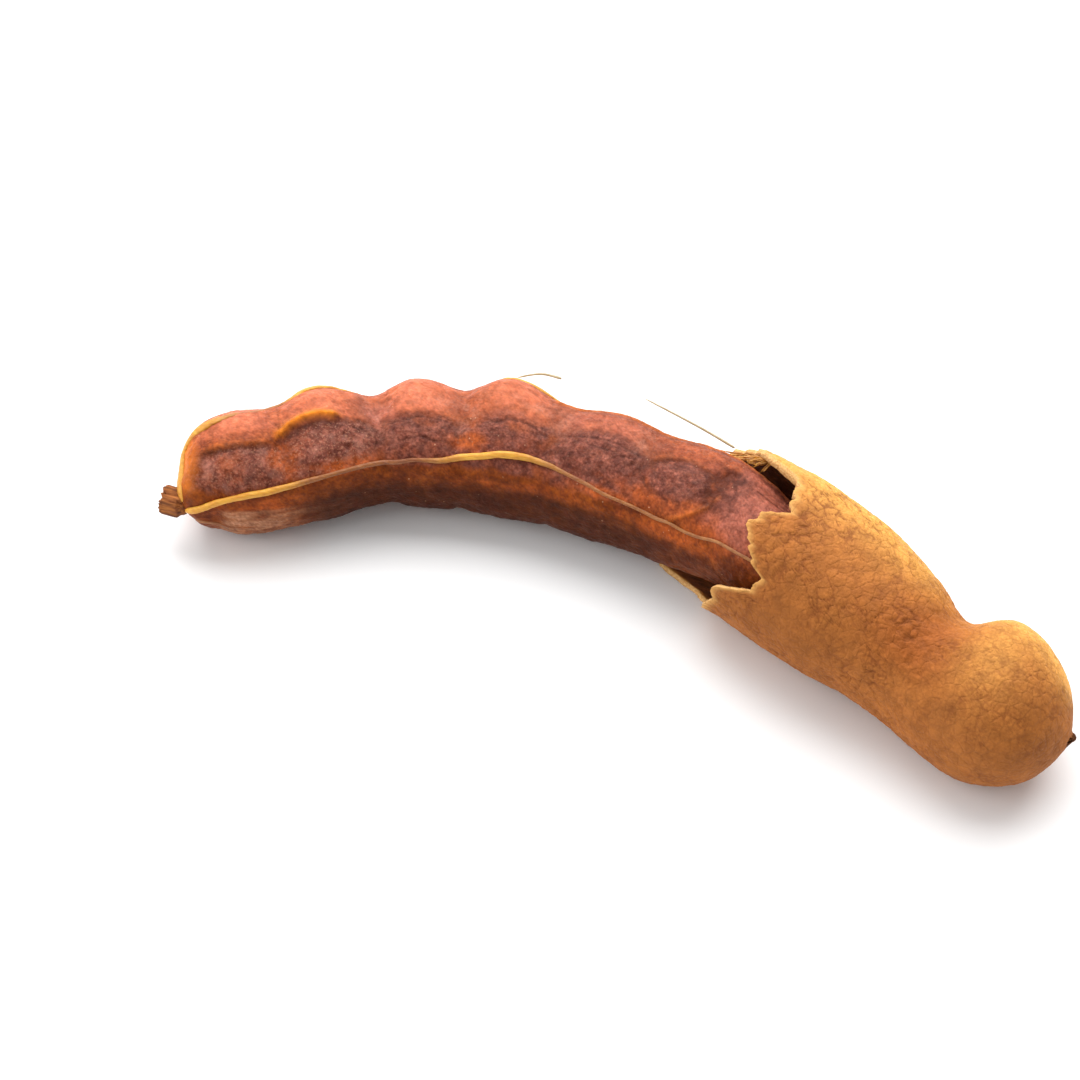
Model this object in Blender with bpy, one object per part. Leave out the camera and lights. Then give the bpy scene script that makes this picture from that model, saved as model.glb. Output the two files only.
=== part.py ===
"""A half-peeled tamarind pod lying on its side: pulp, broken shell, fibres, hairs and stem stub.

Metres, +Z up. +X runs along the pod's chord from the stem to the tip, and +Y points to the
outer side of its bend. The origin is at the bottom centre of the whole pod's box.

Every skin is laid over one bent centreline. A place on a skin is (s, angle): s is the distance
in mm along the centreline from the pulp's stem end, and angle goes round the section in degrees,
from the outer side of the bend (0) over the top (90) to the inner side (180) and below (270).
"""

import math

import bmesh
import bpy
from mathutils import Vector, noise

MM = 0.001

# The centreline seen from above, (x, y), and its height above the ground, (s, height), in mm.
BEND = [(-65.5, -2.8), (-55, 0.8), (-40, 9.8), (-22, 14.3), (0, 13.3), (16, 9), (31, 2.5),
        (44, -3.6), (55, -7.4), (70, -10.8)]
AXIS_HEIGHT = [(0, 8), (20, 8.2), (52, 8.4), (70, 9.2), (86, 10.5), (102, 10.3), (118, 9.8), (141, 9.4)]
CENTRELINE_STEP = 0.5

# Pulp: (s, half width across the bend, half height). Seed bulges and rounded ends come on top.
PULP_SECTIONS = [(0, 7.8, 7.5), (10, 8.2, 7.8), (26, 8.0, 7.5), (47, 8.3, 7.7), (79, 8.2, 7.7),
                 (101, 8.2, 7.7), (117, 6.4, 6.0), (128, 7.6, 7.2), (137, 7.0, 6.6)]
PULP_END = 135.5
PULP_SQUARENESS = 2.6
STEM_CAP = 5.5
TIP_CAP = 8.5
PULP_SIDES = 28
PULP_RINGS = 64

# Seeds under the pulp's skin: (s, height of the bulge on the outer side).
SEEDS = [(8, 0.1), (20.5, 1.5), (34, 1.2), (48, 1.4), (62, 0.8), (75.5, 0.8), (89.5, 0.8), (103, 0.8),
         (128, 0.6)]
SEED_SPREAD = 4.4
BULGE_FLAT_SIDE = 0.8
BULGE_INNER_SIDE = 0.2

# Shell: (s, half width, half height) of its outside.
SHELL_SECTIONS = [(60, 11.6, 10.6), (87, 12.1, 10.9), (102, 11.8, 10.7), (110, 10.3, 9.6),
                  (117, 9.2, 8.9), (123, 10.2, 9.6), (129, 10.8, 10.0), (140, 10.2, 9.6)]
SHELL_SQUARENESS = 2.1
SHELL_WALL = 0.8
SHELL_END = 138.0
SHELL_CAP = 10.5
BEAK_LENGTH = 1.6
BEAK_RADIUS = 0.9
SHELL_SIDES = 48
SHELL_RINGS = 22

# The torn rim, (angle, s), round the section, and the size of its teeth.
TEAR = [(0, 74.5), (10, 75.5), (20, 78.5), (32, 80), (44, 81.5), (52, 84), (57, 87.5), (78, 89.5),
        (96, 90.5), (106, 88), (115, 87.5), (130, 89.5), (144, 93.3), (153, 93), (160, 91), (170, 86.5),
        (182, 87), (192, 85.5), (226, 83), (236, 78.5), (244, 73), (258, 72), (280, 73), (310, 76), (340, 76)]
TEETH_DEPTH = 0.4
TEETH_PER_TURN = 9

# Fibres: the places (s, angle) that each one passes on its way along the pulp's skin.
FIBRE_RADIUS = 0.5
FIBRE_GAP = 0.35
FIBRE_STEP = 2.4
OUTER_FIBRE = [(1.6, 168), (0.6, 150), (0.35, 110), (0.8, 70), (3, 72), (8, 60), (13, 46), (20, 37),
               (27, 25), (34, 20), (41, 25), (48, 33), (55, 25), (66, 14), (90, 8), (118, 0)]
UPPER_FIBRE = [(2, 180), (3, 169), (7, 154), (15, 146), (28, 142), (37, 139), (44, 133), (50, 126),
               (54, 126), (59, 133), (66, 141), (78, 148), (90, 151), (118, 150)]
LOWER_FIBRE = [(2.2, 192), (3.6, 193), (6, 201), (12, 216), (20, 226), (40, 228), (66, 226), (90, 218),
               (118, 212)]

# Stray hairs off the shell's rim and the outer fibre: (x, y, height, radius) along each, in mm.
LONG_HAIR = [(8.9, 22.9, 12.2, 0.25), (5.3, 23.8, 12.8, 0.22), (1.8, 24.5, 13.4, 0.18),
             (-5.5, 25.9, 14.4, 0.12)]
SHORT_HAIR = [(-24.2, 24.1, 14.2, 0.22), (-22.6, 24.8, 14.6, 0.2), (-20.4, 25.2, 15.2, 0.16),
              (-17.8, 24.9, 15.4, 0.12)]
HAIR_STEPS = 3

# Stem stub: its root's place (s, angle, distance from the centreline) on the pulp's blunt end.
STUB_ROOT = (0.5, 184, 6.2)
STUB_LENGTH = 4.0
STUB_RADII = (1.5, 2.3)
STUB_LEAN = (-0.95, -0.3, -0.02)
STUB_SIDES = 14


def smooth(stations, at):
    """The stations' values at this place, on a smooth curve through them, as a Vector."""
    at = min(max(at, stations[0][0]), stations[-1][0])
    k = next(i for i in range(1, len(stations)) if at <= stations[i][0])
    near = [stations[max(0, min(i, len(stations) - 1))] for i in (k - 2, k - 1, k, k + 1)]
    x0, x1, x2, x3 = (row[0] for row in near)
    v0, v1, v2, v3 = (Vector((*row[1:], 0, 0)[:3]) for row in near)
    width = x2 - x1
    slope1 = (v2 - v0) / (x2 - x0) * width
    slope2 = (v3 - v1) / (x3 - x1) * width
    t = (at - x1) / width
    return ((2 * t ** 3 - 3 * t ** 2 + 1) * v1 + (t ** 3 - 2 * t ** 2 + t) * slope1
            + (3 * t ** 2 - 2 * t ** 3) * v2 + (t ** 3 - t ** 2) * slope2)


def measured_centreline():
    """(s, x, y) every half millimetre or so along the bend."""
    rows = [(0.0, *BEND[0])]
    x, last = BEND[0][0], BEND[-1][0]
    while x < last:
        x = min(x + CENTRELINE_STEP, last)
        y = smooth(BEND, x)[0]
        s, before_x, before_y = rows[-1]
        rows.append((s + math.hypot(x - before_x, y - before_y), x, y))
    return rows


CENTRELINE = measured_centreline()


def centre_at(s):
    """The centreline's point at s."""
    x, y, _ = smooth(CENTRELINE, s)
    return Vector((x, y, smooth(AXIS_HEIGHT, s)[0]))


def place(s, angle, radius):
    """The point this far from the centreline, with anything below the ground pressed flat on it."""
    along = centre_at(s + 1) - centre_at(s - 1)
    outward = Vector((-along.y, along.x, 0)).normalized()
    turn = math.radians(angle)
    point = centre_at(s) + radius * (math.cos(turn) * outward + Vector((0, 0, math.sin(turn))))
    point.z = max(point.z, 0.0)
    return point


def oval(half_width, half_height, squareness, angle):
    """The radius of a rounded oval section. A squareness of 2 is an ellipse."""
    across = abs(math.cos(math.radians(angle))) / half_width
    above = abs(math.sin(math.radians(angle))) / half_height
    return (across ** squareness + above ** squareness) ** (-1 / squareness)


def rounded_end(depth, cap, squareness=2.3):
    """How far the section has opened this deep inside an end cap, from 0 to 1."""
    share = min(max(1 - depth / cap, 0), 1)
    return (1 - share ** squareness) ** (1 / squareness)


def pulp_radius(s, angle):
    half_width, half_height, _ = smooth(PULP_SECTIONS, s)
    outer, top = math.cos(math.radians(angle)), math.sin(math.radians(angle))
    bulge = sum((BULGE_FLAT_SIDE * top ** 2 + (outer_side if outer > 0 else BULGE_INNER_SIDE) * outer ** 2)
                * math.exp(-((s - at) / SEED_SPREAD) ** 2) for at, outer_side in SEEDS)
    ends = rounded_end(s, STEM_CAP) * rounded_end(PULP_END - s, TIP_CAP)
    return (oval(half_width, half_height, PULP_SQUARENESS, angle) + bulge) * ends


def shell_radius(s, angle):
    half_width, half_height, _ = smooth(SHELL_SECTIONS, s)
    body = oval(half_width, half_height, SHELL_SQUARENESS, angle) * rounded_end(SHELL_END - s, SHELL_CAP, 2.1)
    beak = BEAK_RADIUS * math.sqrt(min(max(1 - (s - SHELL_END) / BEAK_LENGTH, 0), 1))
    return max(body, beak)


def lining_radius(s, angle):
    half_width, half_height, _ = smooth(SHELL_SECTIONS, s)
    section = oval(half_width - SHELL_WALL, half_height - SHELL_WALL, SHELL_SQUARENESS, angle)
    return section * rounded_end(SHELL_END - SHELL_WALL - s, SHELL_CAP - SHELL_WALL, 2.1)


def tear(angle):
    """Where the torn rim is at this angle."""
    angle %= 360
    rim = smooth(TEAR + [(TEAR[0][0] + 360, TEAR[0][1])], angle)[0]
    turn = math.radians(angle)
    ring = Vector((math.cos(turn), math.sin(turn), 0)) * TEETH_PER_TURN / math.tau * 2
    return rim + TEETH_DEPTH * noise.noise(ring)


def material(name, colour, roughness):
    made = bpy.data.materials.new(name)
    made.use_nodes = True
    shader = made.node_tree.nodes["Principled BSDF"]
    shader.inputs["Base Color"].default_value = (*colour, 1)
    shader.inputs["Roughness"].default_value = roughness
    shader.inputs["Metallic"].default_value = 0
    made.diffuse_color = (*colour, 1)
    return made


def add(name, data, finish, pod):
    piece = bpy.data.objects.new(name, data)
    bpy.context.scene.collection.objects.link(piece)
    data.materials.append(finish)
    piece.parent = pod
    return piece


def add_mesh(name, bm, finish, pod):
    for vertex in bm.verts:
        vertex.co *= MM
    mesh = bpy.data.meshes.new(name)
    bm.to_mesh(mesh)
    bm.free()
    mesh.shade_smooth()
    return add(name, mesh, finish, pod)


def ball(bm, sides, rings):
    """A unit ball's new vertices, each with its angle and its share of the way from bottom to top."""
    made = bmesh.ops.create_uvsphere(bm, u_segments=sides, v_segments=rings, radius=1)["verts"]
    return [(v, math.degrees(math.atan2(v.co.y, v.co.x)), math.acos(max(-1, min(1, -v.co.z))) / math.pi)
            for v in made]


def make_pulp(pod):
    """A ball drawn out along the centreline, with its rings closer together at the ends."""
    bm = bmesh.new()
    for vertex, angle, share in ball(bm, PULP_SIDES, PULP_RINGS):
        s = PULP_END * (0.5 * share + 0.25 * (1 - math.cos(math.pi * share)))
        vertex.co = place(s, angle, pulp_radius(s, angle))
    return add_mesh("pulp", bm, material("pulp", (0.42, 0.11, 0.06), 0.4), pod)


def add_cup(bm, radius, end):
    """Half a ball, open at the torn rim and closed at the tip."""
    whole = ball(bm, SHELL_SIDES, 2 * SHELL_RINGS)
    gone = [vertex for vertex, _, share in whole if share < 0.5 - 1e-4]
    kept = [row for row in whole if row[2] >= 0.5 - 1e-4]
    bmesh.ops.delete(bm, geom=gone, context="VERTS")
    for vertex, angle, share in kept:
        along = 2 * share - 1
        rim = tear(angle)
        s = rim + (end - rim) * math.sin(along * math.pi / 2)
        vertex.co = place(s, angle, radius(s, angle))
    return {face for row in kept for face in row[0].link_faces}


def make_shell(pod):
    """An outer cup and an inner one, joined by a strip round the torn rim."""
    bm = bmesh.new()
    add_cup(bm, shell_radius, SHELL_END + BEAK_LENGTH)
    inside = add_cup(bm, lining_radius, SHELL_END - SHELL_WALL)
    bmesh.ops.reverse_faces(bm, faces=list(inside))
    lift_lining(inside)
    bmesh.ops.bridge_loops(bm, edges=[edge for edge in bm.edges if edge.is_boundary])
    return add_mesh("shell", bm, material("shell", (0.60, 0.27, 0.09), 0.85), pod)


def lift_lining(faces):
    """Keeps the wall its full thickness where the outside is pressed flat on the ground."""
    for vertex in {v for face in faces for v in face.verts}:
        vertex.co.z = max(vertex.co.z, SHELL_WALL)


def add_tube(name, rows, finish, pod):
    """A closed tube through (point, radius) rows."""
    curve = bpy.data.curves.new(name, "CURVE")
    curve.dimensions = "3D"
    curve.bevel_depth = MM
    curve.bevel_resolution = 1
    curve.use_fill_caps = True
    line = curve.splines.new("POLY")
    line.points.add(len(rows) - 1)
    for spot, (point, radius) in zip(line.points, rows):
        spot.co = (*(point * MM), 1)
        spot.radius = radius
    return add(name, curve, finish, pod)


def on_pulp(s, angle, lift):
    """A point this far above the pulp's skin, square to it."""
    def skin(at_s, at_angle):
        return place(at_s, at_angle, pulp_radius(at_s, at_angle))
    round_it = skin(s, angle + 4) - skin(s, angle - 4)
    along_it = skin(s + 0.4, angle) - skin(max(s - 0.4, 0.1), angle)
    return skin(s, angle) + lift * round_it.cross(along_it).normalized()


def make_fibre(name, places, finish, pod):
    """A fibre laid on the pulp's skin from the stem stub towards the tip."""
    numbered = [(number, *spot) for number, spot in enumerate(places)]
    rows = []
    for number, (spot, following) in enumerate(zip(places, places[1:])):
        reach = (on_pulp(*following, 0) - on_pulp(*spot, 0)).length
        steps = max(2, round(reach / FIBRE_STEP))
        for step in range(steps + (number == len(places) - 2)):
            s, angle, _ = smooth(numbered, number + step / steps)
            rows.append((on_pulp(s, angle, FIBRE_RADIUS + FIBRE_GAP), FIBRE_RADIUS))
    return add_tube(name, rows, finish, pod)


def make_hair(name, points, finish, pod):
    """A thin stray hair, curved smoothly through its points."""
    numbered = [(number, *point[:3]) for number, point in enumerate(points)]
    thickness = [(number, point[3]) for number, point in enumerate(points)]
    stops = [number / HAIR_STEPS for number in range((len(points) - 1) * HAIR_STEPS + 1)]
    return add_tube(name, [(smooth(numbered, at), smooth(thickness, at)[0]) for at in stops], finish, pod)


def make_stub(pod):
    """The broken stalk, a short cone that widens to its torn outer end."""
    bm = bmesh.new()
    bmesh.ops.create_cone(bm, cap_ends=True, segments=STUB_SIDES, radius1=STUB_RADII[0],
                          radius2=STUB_RADII[1], depth=STUB_LENGTH)
    lean = Vector(STUB_LEAN).normalized()
    turn = lean.to_track_quat("Z", "Y").to_matrix()
    centre = place(*STUB_ROOT) + lean * STUB_LENGTH / 2
    for vertex in bm.verts:
        vertex.co = turn @ vertex.co + centre
    return add_mesh("stem_stub", bm, material("stem_stub", (0.36, 0.16, 0.05), 0.8), pod)


def centre_on_ground(pod):
    """Moves the pod so that the bottom centre of its box is the origin."""
    bpy.context.view_layer.update()
    graph = bpy.context.evaluated_depsgraph_get()
    points = [vertex.co.copy() for piece in pod.children
              for vertex in piece.evaluated_get(graph).to_mesh().vertices]
    lows, highs = [[pick(point[k] for point in points) for k in range(3)] for pick in (min, max)]
    pod.location = (-(lows[0] + highs[0]) / 2, -(lows[1] + highs[1]) / 2, -lows[2])
    bpy.context.view_layer.update()


def main():
    for old in list(bpy.data.objects):
        bpy.data.objects.remove(old)
    pod = bpy.data.objects.new("pod", None)
    bpy.context.scene.collection.objects.link(pod)
    make_pulp(pod)
    make_shell(pod)
    fibre = material("fibre", (0.72, 0.40, 0.08), 0.6)
    make_fibre("outer_fibre", OUTER_FIBRE, fibre, pod)
    make_fibre("upper_inner_fibre", UPPER_FIBRE, fibre, pod)
    make_fibre("lower_inner_fibre", LOWER_FIBRE, fibre, pod)
    make_hair("long_hair", LONG_HAIR, fibre, pod)
    make_hair("short_hair", SHORT_HAIR, fibre, pod)
    make_stub(pod)
    centre_on_ground(pod)


main()
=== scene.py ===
# %% [markdown]
# # A half-peeled tamarind pod
#
# A tamarind pod is a bent, lumpy bean as long as a hand. A brittle brown shell like thin eggshell
# holds a sticky pulp, and the pulp holds the seeds. Here the stem half has been peeled: its pulp lies
# bare, with three golden fibres running along it from the stub of the stalk, and the tip half is still
# in its shell, which ends in a torn rim. This lesson makes the look of it round a plain model of the
# same pod, the frame, which already has every piece at its true size and place.

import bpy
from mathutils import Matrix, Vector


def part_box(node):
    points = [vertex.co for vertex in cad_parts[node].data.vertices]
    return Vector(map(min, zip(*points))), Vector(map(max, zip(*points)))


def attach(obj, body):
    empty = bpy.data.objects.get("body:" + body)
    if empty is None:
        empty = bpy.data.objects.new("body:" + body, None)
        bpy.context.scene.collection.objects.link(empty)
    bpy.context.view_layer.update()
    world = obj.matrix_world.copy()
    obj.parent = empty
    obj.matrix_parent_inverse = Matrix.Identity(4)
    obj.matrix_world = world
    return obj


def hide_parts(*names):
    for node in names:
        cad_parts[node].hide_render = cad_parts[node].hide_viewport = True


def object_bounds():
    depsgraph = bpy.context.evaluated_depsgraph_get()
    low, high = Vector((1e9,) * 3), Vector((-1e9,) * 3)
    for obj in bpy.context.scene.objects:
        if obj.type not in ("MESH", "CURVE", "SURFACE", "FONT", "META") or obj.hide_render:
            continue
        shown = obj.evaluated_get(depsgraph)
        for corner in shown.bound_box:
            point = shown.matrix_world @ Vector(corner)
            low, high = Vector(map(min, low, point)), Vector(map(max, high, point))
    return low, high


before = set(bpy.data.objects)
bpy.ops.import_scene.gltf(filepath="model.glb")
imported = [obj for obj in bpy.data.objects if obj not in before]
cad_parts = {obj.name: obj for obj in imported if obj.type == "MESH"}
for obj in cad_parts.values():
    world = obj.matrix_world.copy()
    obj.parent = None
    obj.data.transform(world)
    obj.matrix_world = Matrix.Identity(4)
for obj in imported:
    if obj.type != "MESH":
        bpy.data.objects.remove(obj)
cad_low, cad_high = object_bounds()
print("nodes in the frame:", sorted(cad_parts))

# %% Modules and units
import math

import bmesh
import bpy
import numpy as np
from mathutils import Vector
from mathutils.bvhtree import BVHTree

MM = 0.001
UP = np.array((0.0, 0.0, 1.0))
size = (cad_high - cad_low) / MM
print("the pod is", [round(side, 1) for side in size], "mm")

# %% [markdown]
# ## Measuring the frame
#
# A bent pod is awkward to describe in x, y and z. It is easy in its own terms: s, the distance in
# millimetres along its bent centreline from the pulp's stem end, and an angle round its section, from
# the outer side of the bend (0) over the top (90) to the inner side (180) and below (270). So the first
# job is to find that centreline. It could be typed in, but then it would be wrong as soon as the frame
# changed. Instead, rays are shot at the frame's pulp from both sides and from above and below, and the
# middle of the hits is a point of the centreline.

# %% Search trees over the frame's skins


def tree_of(thing):
    """A search tree over an object's skin, in millimetres, for shooting rays at it."""
    corners = [vertex.co / MM for vertex in thing.data.vertices]
    return BVHTree.FromPolygons(corners, [tuple(face.vertices) for face in thing.data.polygons])


cad_pulp = tree_of(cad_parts["pulp"])
cad_shell = tree_of(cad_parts["shell"])
print("trees ready for pulp and shell")

# %% Find the centreline
SLICES = 60
SLICE_REACH = 4.0
BLUNT_END = 6.0
FAR_OFF = 60.0
LINE_STEP = 0.5
EASE_SPREAD = 4.0
END_EXTENSION = 25.0
END_RUN = 8


def middle_of_slice(x):
    """The centre of the pulp's section at this x."""
    near = [vertex.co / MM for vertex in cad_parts["pulp"].data.vertices
            if abs(vertex.co.x / MM - x) < SLICE_REACH]
    guess = sum(near, Vector()) / len(near)
    guess.x = x
    for axis in (Vector((0, 1, 0)), Vector((0, 0, 1))) * 3:
        one = cad_pulp.ray_cast(guess + FAR_OFF * axis, -axis)[0]
        other = cad_pulp.ray_cast(guess - FAR_OFF * axis, axis)[0]
        guess = (one + other) / 2
    return np.array(guess)


def eased(rows, spread):
    """Rows of points with their jitter averaged out over this many millimetres."""
    reach = int(3 * spread / LINE_STEP)
    weights = np.exp(-0.5 * (np.arange(-reach, reach + 1) * LINE_STEP / spread) ** 2)
    first = 2 * rows[0] - rows[reach:0:-1]
    last = 2 * rows[-1] - rows[-2:-reach - 2:-1]
    padded = np.concatenate([first, rows, last])
    return np.stack([np.convolve(padded[:, k], weights / weights.sum(), "valid") for k in range(3)], 1)


def run_along(rows):
    """How far along a line of points each one is."""
    return np.concatenate([[0], np.cumsum(np.linalg.norm(np.diff(rows, axis=0), axis=1))])


def at_stops(rows, stops):
    """The points of a line at these distances along it."""
    return np.stack([np.interp(stops, run_along(rows), rows[:, k]) for k in range(3)], 1)


def evenly_spaced(rows):
    """The same line with a point every LINE_STEP along it."""
    return at_stops(rows, np.arange(0, run_along(rows)[-1], LINE_STEP))


def unit(rows):
    """The same directions, each one long."""
    return rows / np.linalg.norm(rows, axis=-1, keepdims=True)


def drawn_on(rows):
    """The line with a straight stretch added at both ends."""
    steps = np.arange(1, END_EXTENSION / LINE_STEP + 1)[:, None] * LINE_STEP
    before = rows[0] + steps[::-1] * unit(rows[0] - rows[END_RUN])
    beyond = rows[-1] + steps * unit(rows[-1] - rows[-1 - END_RUN])
    return np.concatenate([before, rows, beyond])


pulp_low, pulp_high = (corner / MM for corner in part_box("pulp"))
slices = np.linspace(pulp_low.x + BLUNT_END, pulp_high.x - BLUNT_END, SLICES)
middles = np.array([middle_of_slice(x) for x in slices])
line = evenly_spaced(drawn_on(eased(evenly_spaced(middles), EASE_SPREAD)))
line_s = np.arange(len(line)) * LINE_STEP


def s_of(point):
    """The distance along the centreline of its point nearest to this one."""
    return float(line_s[np.argmin(np.linalg.norm(line - np.array(point), axis=1))])


well_inside = Vector(line[int(1.5 * END_EXTENSION / LINE_STEP)])
stem_end = cad_pulp.ray_cast(well_inside, Vector(line[0]) - well_inside)[0]
line_s = line_s - s_of(stem_end)
print("centreline of", len(line), "points, s from", line_s[0], "to", line_s[-1])

# %% Places along and round the pod
SIGHT = 25.0


def centre_at(s):
    """The centreline's points at these distances along it."""
    return np.stack([np.interp(s, line_s, line[:, k]) for k in range(3)], -1)


def outward_at(s):
    """The level direction out of the bend at these distances."""
    along = centre_at(np.asarray(s) + 1) - centre_at(np.asarray(s) - 1)
    return unit(np.stack([-along[..., 1], along[..., 0], 0 * along[..., 0]], -1))


def rays_at(s, angle):
    """The directions from the centreline towards these angles round the section."""
    turn = np.radians(angle)[..., None]
    return np.cos(turn) * outward_at(s) + np.sin(turn) * UP


def spots_at(s, angle, radius):
    """The points this far out from the centreline, at these distances along it and angles round it."""
    return centre_at(s) + radius[:, None] * rays_at(s, angle)


def cast(tree, s, angle, from_outside=False):
    """How far from the centreline each ray meets the skin, or nothing (nan) where it misses."""
    centres = centre_at(s)
    rays = rays_at(s, angle)
    found = np.full(len(centres), np.nan)
    for number, (centre, ray) in enumerate(zip(centres, rays)):
        start = Vector(centre + SIGHT * ray if from_outside else centre)
        aim = Vector(-ray if from_outside else ray)
        distance = tree.ray_cast(start, aim, SIGHT)[3]
        if distance is not None:
            found[number] = SIGHT - distance if from_outside else distance
    return found


def end_of(tree, start, aim):
    """The s at which a ray along the centreline, from one distance towards another, meets a skin."""
    return s_of(tree.ray_cast(Vector(centre_at(start)), Vector(centre_at(aim) - centre_at(start)))[0])


pulp_end = end_of(cad_pulp, 100.0, 140.0)
test = cast(cad_pulp, np.full(4, 48.0), np.array((0.0, 90.0, 180.0, 270.0)))
print("pulp ends at s =", round(pulp_end, 1), "and its radius at s = 48 is", test.round(2))

# %% [markdown]
# ## A sheet, rolled up
#
# Pulp, shell, fibres, hairs and stub are all long skins, round in section and closed at their ends. A
# ball from create_uvsphere could be drawn out into each of them, but that operator is slow when it has
# to make a hundred thousand vertices. A flat sheet from create_grid is quick: weld_verts joins its two
# long edges into a roll, and pulls each end together into one point. The sheet also gives each vertex
# two handy numbers that stay true however far it is moved: its angle round the roll, and its share of
# the way from one end to the other.

# %% The roll and its two numbers
PATTERN_SIDES = 110
SOFTENING_ROUNDS = 17
RUN_SAMPLES = 2000


def roll(bm, sides, rings, open_start=False):
    """Adds a rolled-up sheet to bm, and gives its vertices with their shares and angles."""
    sheet = bmesh.ops.create_grid(bm, x_segments=sides, y_segments=rings, size=1)["verts"]
    across = np.array([round((vertex.co.x + 1) / 2 * sides) for vertex in sheet])
    along = np.array([round((vertex.co.y + 1) / 2 * rings) for vertex in sheet])
    first = {int(along[k]): sheet[k] for k in np.flatnonzero(across == 0)}
    onto = {sheet[k]: first[int(along[k])] for k in np.flatnonzero(across == sides)}
    for end in (rings,) if open_start else (0, rings):
        onto.update({sheet[k]: first[end] for k in np.flatnonzero((along == end) & (across > 0))})
    kept = [k for k, vertex in enumerate(sheet) if vertex not in onto]
    made = [sheet[k] for k in kept]
    bmesh.ops.weld_verts(bm, targetmap=onto)
    return made, along[kept] / rings, across[kept] * 360 / sides


def move_to(vertices, points, unit=MM):
    """Puts each vertex at its point, given in millimetres."""
    for vertex, point in zip(vertices, points):
        vertex.co = Vector(point) * unit


def rings_along(width, start, end, pace=np.ones_like):
    """Where rings go, by share, so that they are evenly spaced along a skin of this half width."""
    s = start + (end - start) * (1 - np.cos(np.linspace(0, math.pi, RUN_SAMPLES))) / 2
    half = width(s)
    half[0] = half[-1] = 0
    run = np.concatenate([[0], np.cumsum(np.hypot(np.diff(s), np.diff(half)) * pace((s[1:] + s[:-1]) / 2))])
    return lambda share: np.interp(share * run[-1], run, s)


def outward_of(bm, vertices):
    """Each vertex's outward direction."""
    bm.normal_update()
    return np.array([vertex.normal for vertex in vertices])


def smooth_pattern(tree, width, start, end, from_outside=False, solid_from=None):
    """The frame's skin with its flat facets rounded off, as a tree to shoot rays at."""
    bm = bmesh.new()
    vertices, share, angle = roll(bm, PATTERN_SIDES, 2 * PATTERN_SIDES)
    s = rings_along(width, start, end)(share)
    solid = s if solid_from is None else np.maximum(s, solid_from(angle))
    radius = np.nan_to_num(cast(tree, solid, angle, from_outside))
    move_to(vertices, spots_at(s, angle, radius), unit=1)
    for _ in range(SOFTENING_ROUNDS):
        bmesh.ops.smooth_vert(bm, verts=bm.verts, factor=0.5,
                              use_axis_x=True, use_axis_y=True, use_axis_z=True)
    pattern = BVHTree.FromBMesh(bm)
    bm.free()
    return pattern


def make_piece(name, bm, masks, finishes, node):
    """Turns bm into the piece that stands for a node, with its masks as attributes for the materials."""
    mesh = bpy.data.meshes.new(name)
    bm.to_mesh(mesh)
    bm.free()
    mesh.shade_smooth()
    for mask, values in masks.items():
        mesh.attributes.new(mask, "FLOAT", "POINT").data.foreach_set("value", np.asarray(values, np.float32))
    for finish in finishes:
        mesh.materials.append(finish)
    piece = bpy.data.objects.new(name, mesh)
    bpy.context.scene.collection.objects.link(piece)
    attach(piece, "root")
    if node:
        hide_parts(node)
    print(name, "has", sum(len(face.vertices) - 2 for face in mesh.polygons), "triangles")
    return piece


print("helpers for rolled sheets are ready")

# %% [markdown]
# ## Soft shapes and noise
#
# On a grown thing nothing starts or stops at a line. Every bump, hollow and patch of colour is a number
# for each vertex that rises and falls smoothly, with some random mottling so that no two are alike. A
# Displace modifier with a texture could do the mottling. Numbers in the script can also be aimed at a
# place on the skin, bent along a route and used again for the colours, so that is the way here.

# %% Soft shapes


def step(low, high, value):
    """0 below low, 1 above high, and a smooth rise between them."""
    share = np.clip((value - low) / (high - low), 0, 1)
    return share * share * (3 - 2 * share)


def within(value, rise, fall):
    """1 between two edges: a smooth rise over the first pair of values and a fall over the second."""
    return step(*rise, value) * (1 - step(*fall, value))


def hump(distance, width):
    """1 at no distance, falling off smoothly over this width."""
    return np.exp(-(distance / width) ** 2)


def turn_between(angle, other):
    """The angle from other to angle, the short way round, in degrees."""
    return (angle - other + 180) % 360 - 180


def patch(s, angle, s0, angle0, length, spread):
    """1 in the middle of a soft patch on a skin, fading over a length in mm and a spread in degrees."""
    return hump(s - s0, length) * hump(turn_between(angle, angle0), spread)


def strongest(masks):
    """The highest of several masks at each place."""
    return np.maximum.reduce(list(masks))


print("half way up a step:", step(0, 1, 0.5), "and one width from a hump:", round(float(hump(1, 1)), 2))

# %% Noise
PRIMES = np.array((73856093, 19349663, 83492791))
FAR_CELL = 9.0


def scrambled(corners, salt):
    """A large whole number for each whole-numbered corner, that looks random but never changes."""
    mixed = np.bitwise_xor.reduce(corners * PRIMES, axis=1) ^ salt * 2654435761
    mixed = (mixed ^ (mixed >> 13)) * 1274126177 & 0x7FFFFFFF
    return (mixed ^ (mixed >> 11)) * 668265263 & 0x7FFFFFFF


SLOPES = np.array([(x, y, z) for x in (-1, 0, 1) for y in (-1, 0, 1) for z in (-1, 0, 1)
                   if abs(x) + abs(y) + abs(z) == 2], float)
CORNERS = [np.array((x, y, z)) for x in (0, 1) for y in (0, 1) for z in (0, 1)]
NEIGHBOURS = [np.array((x, y, z)) for x in (-1, 0, 1) for y in (-1, 0, 1) for z in (-1, 0, 1)]


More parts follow.
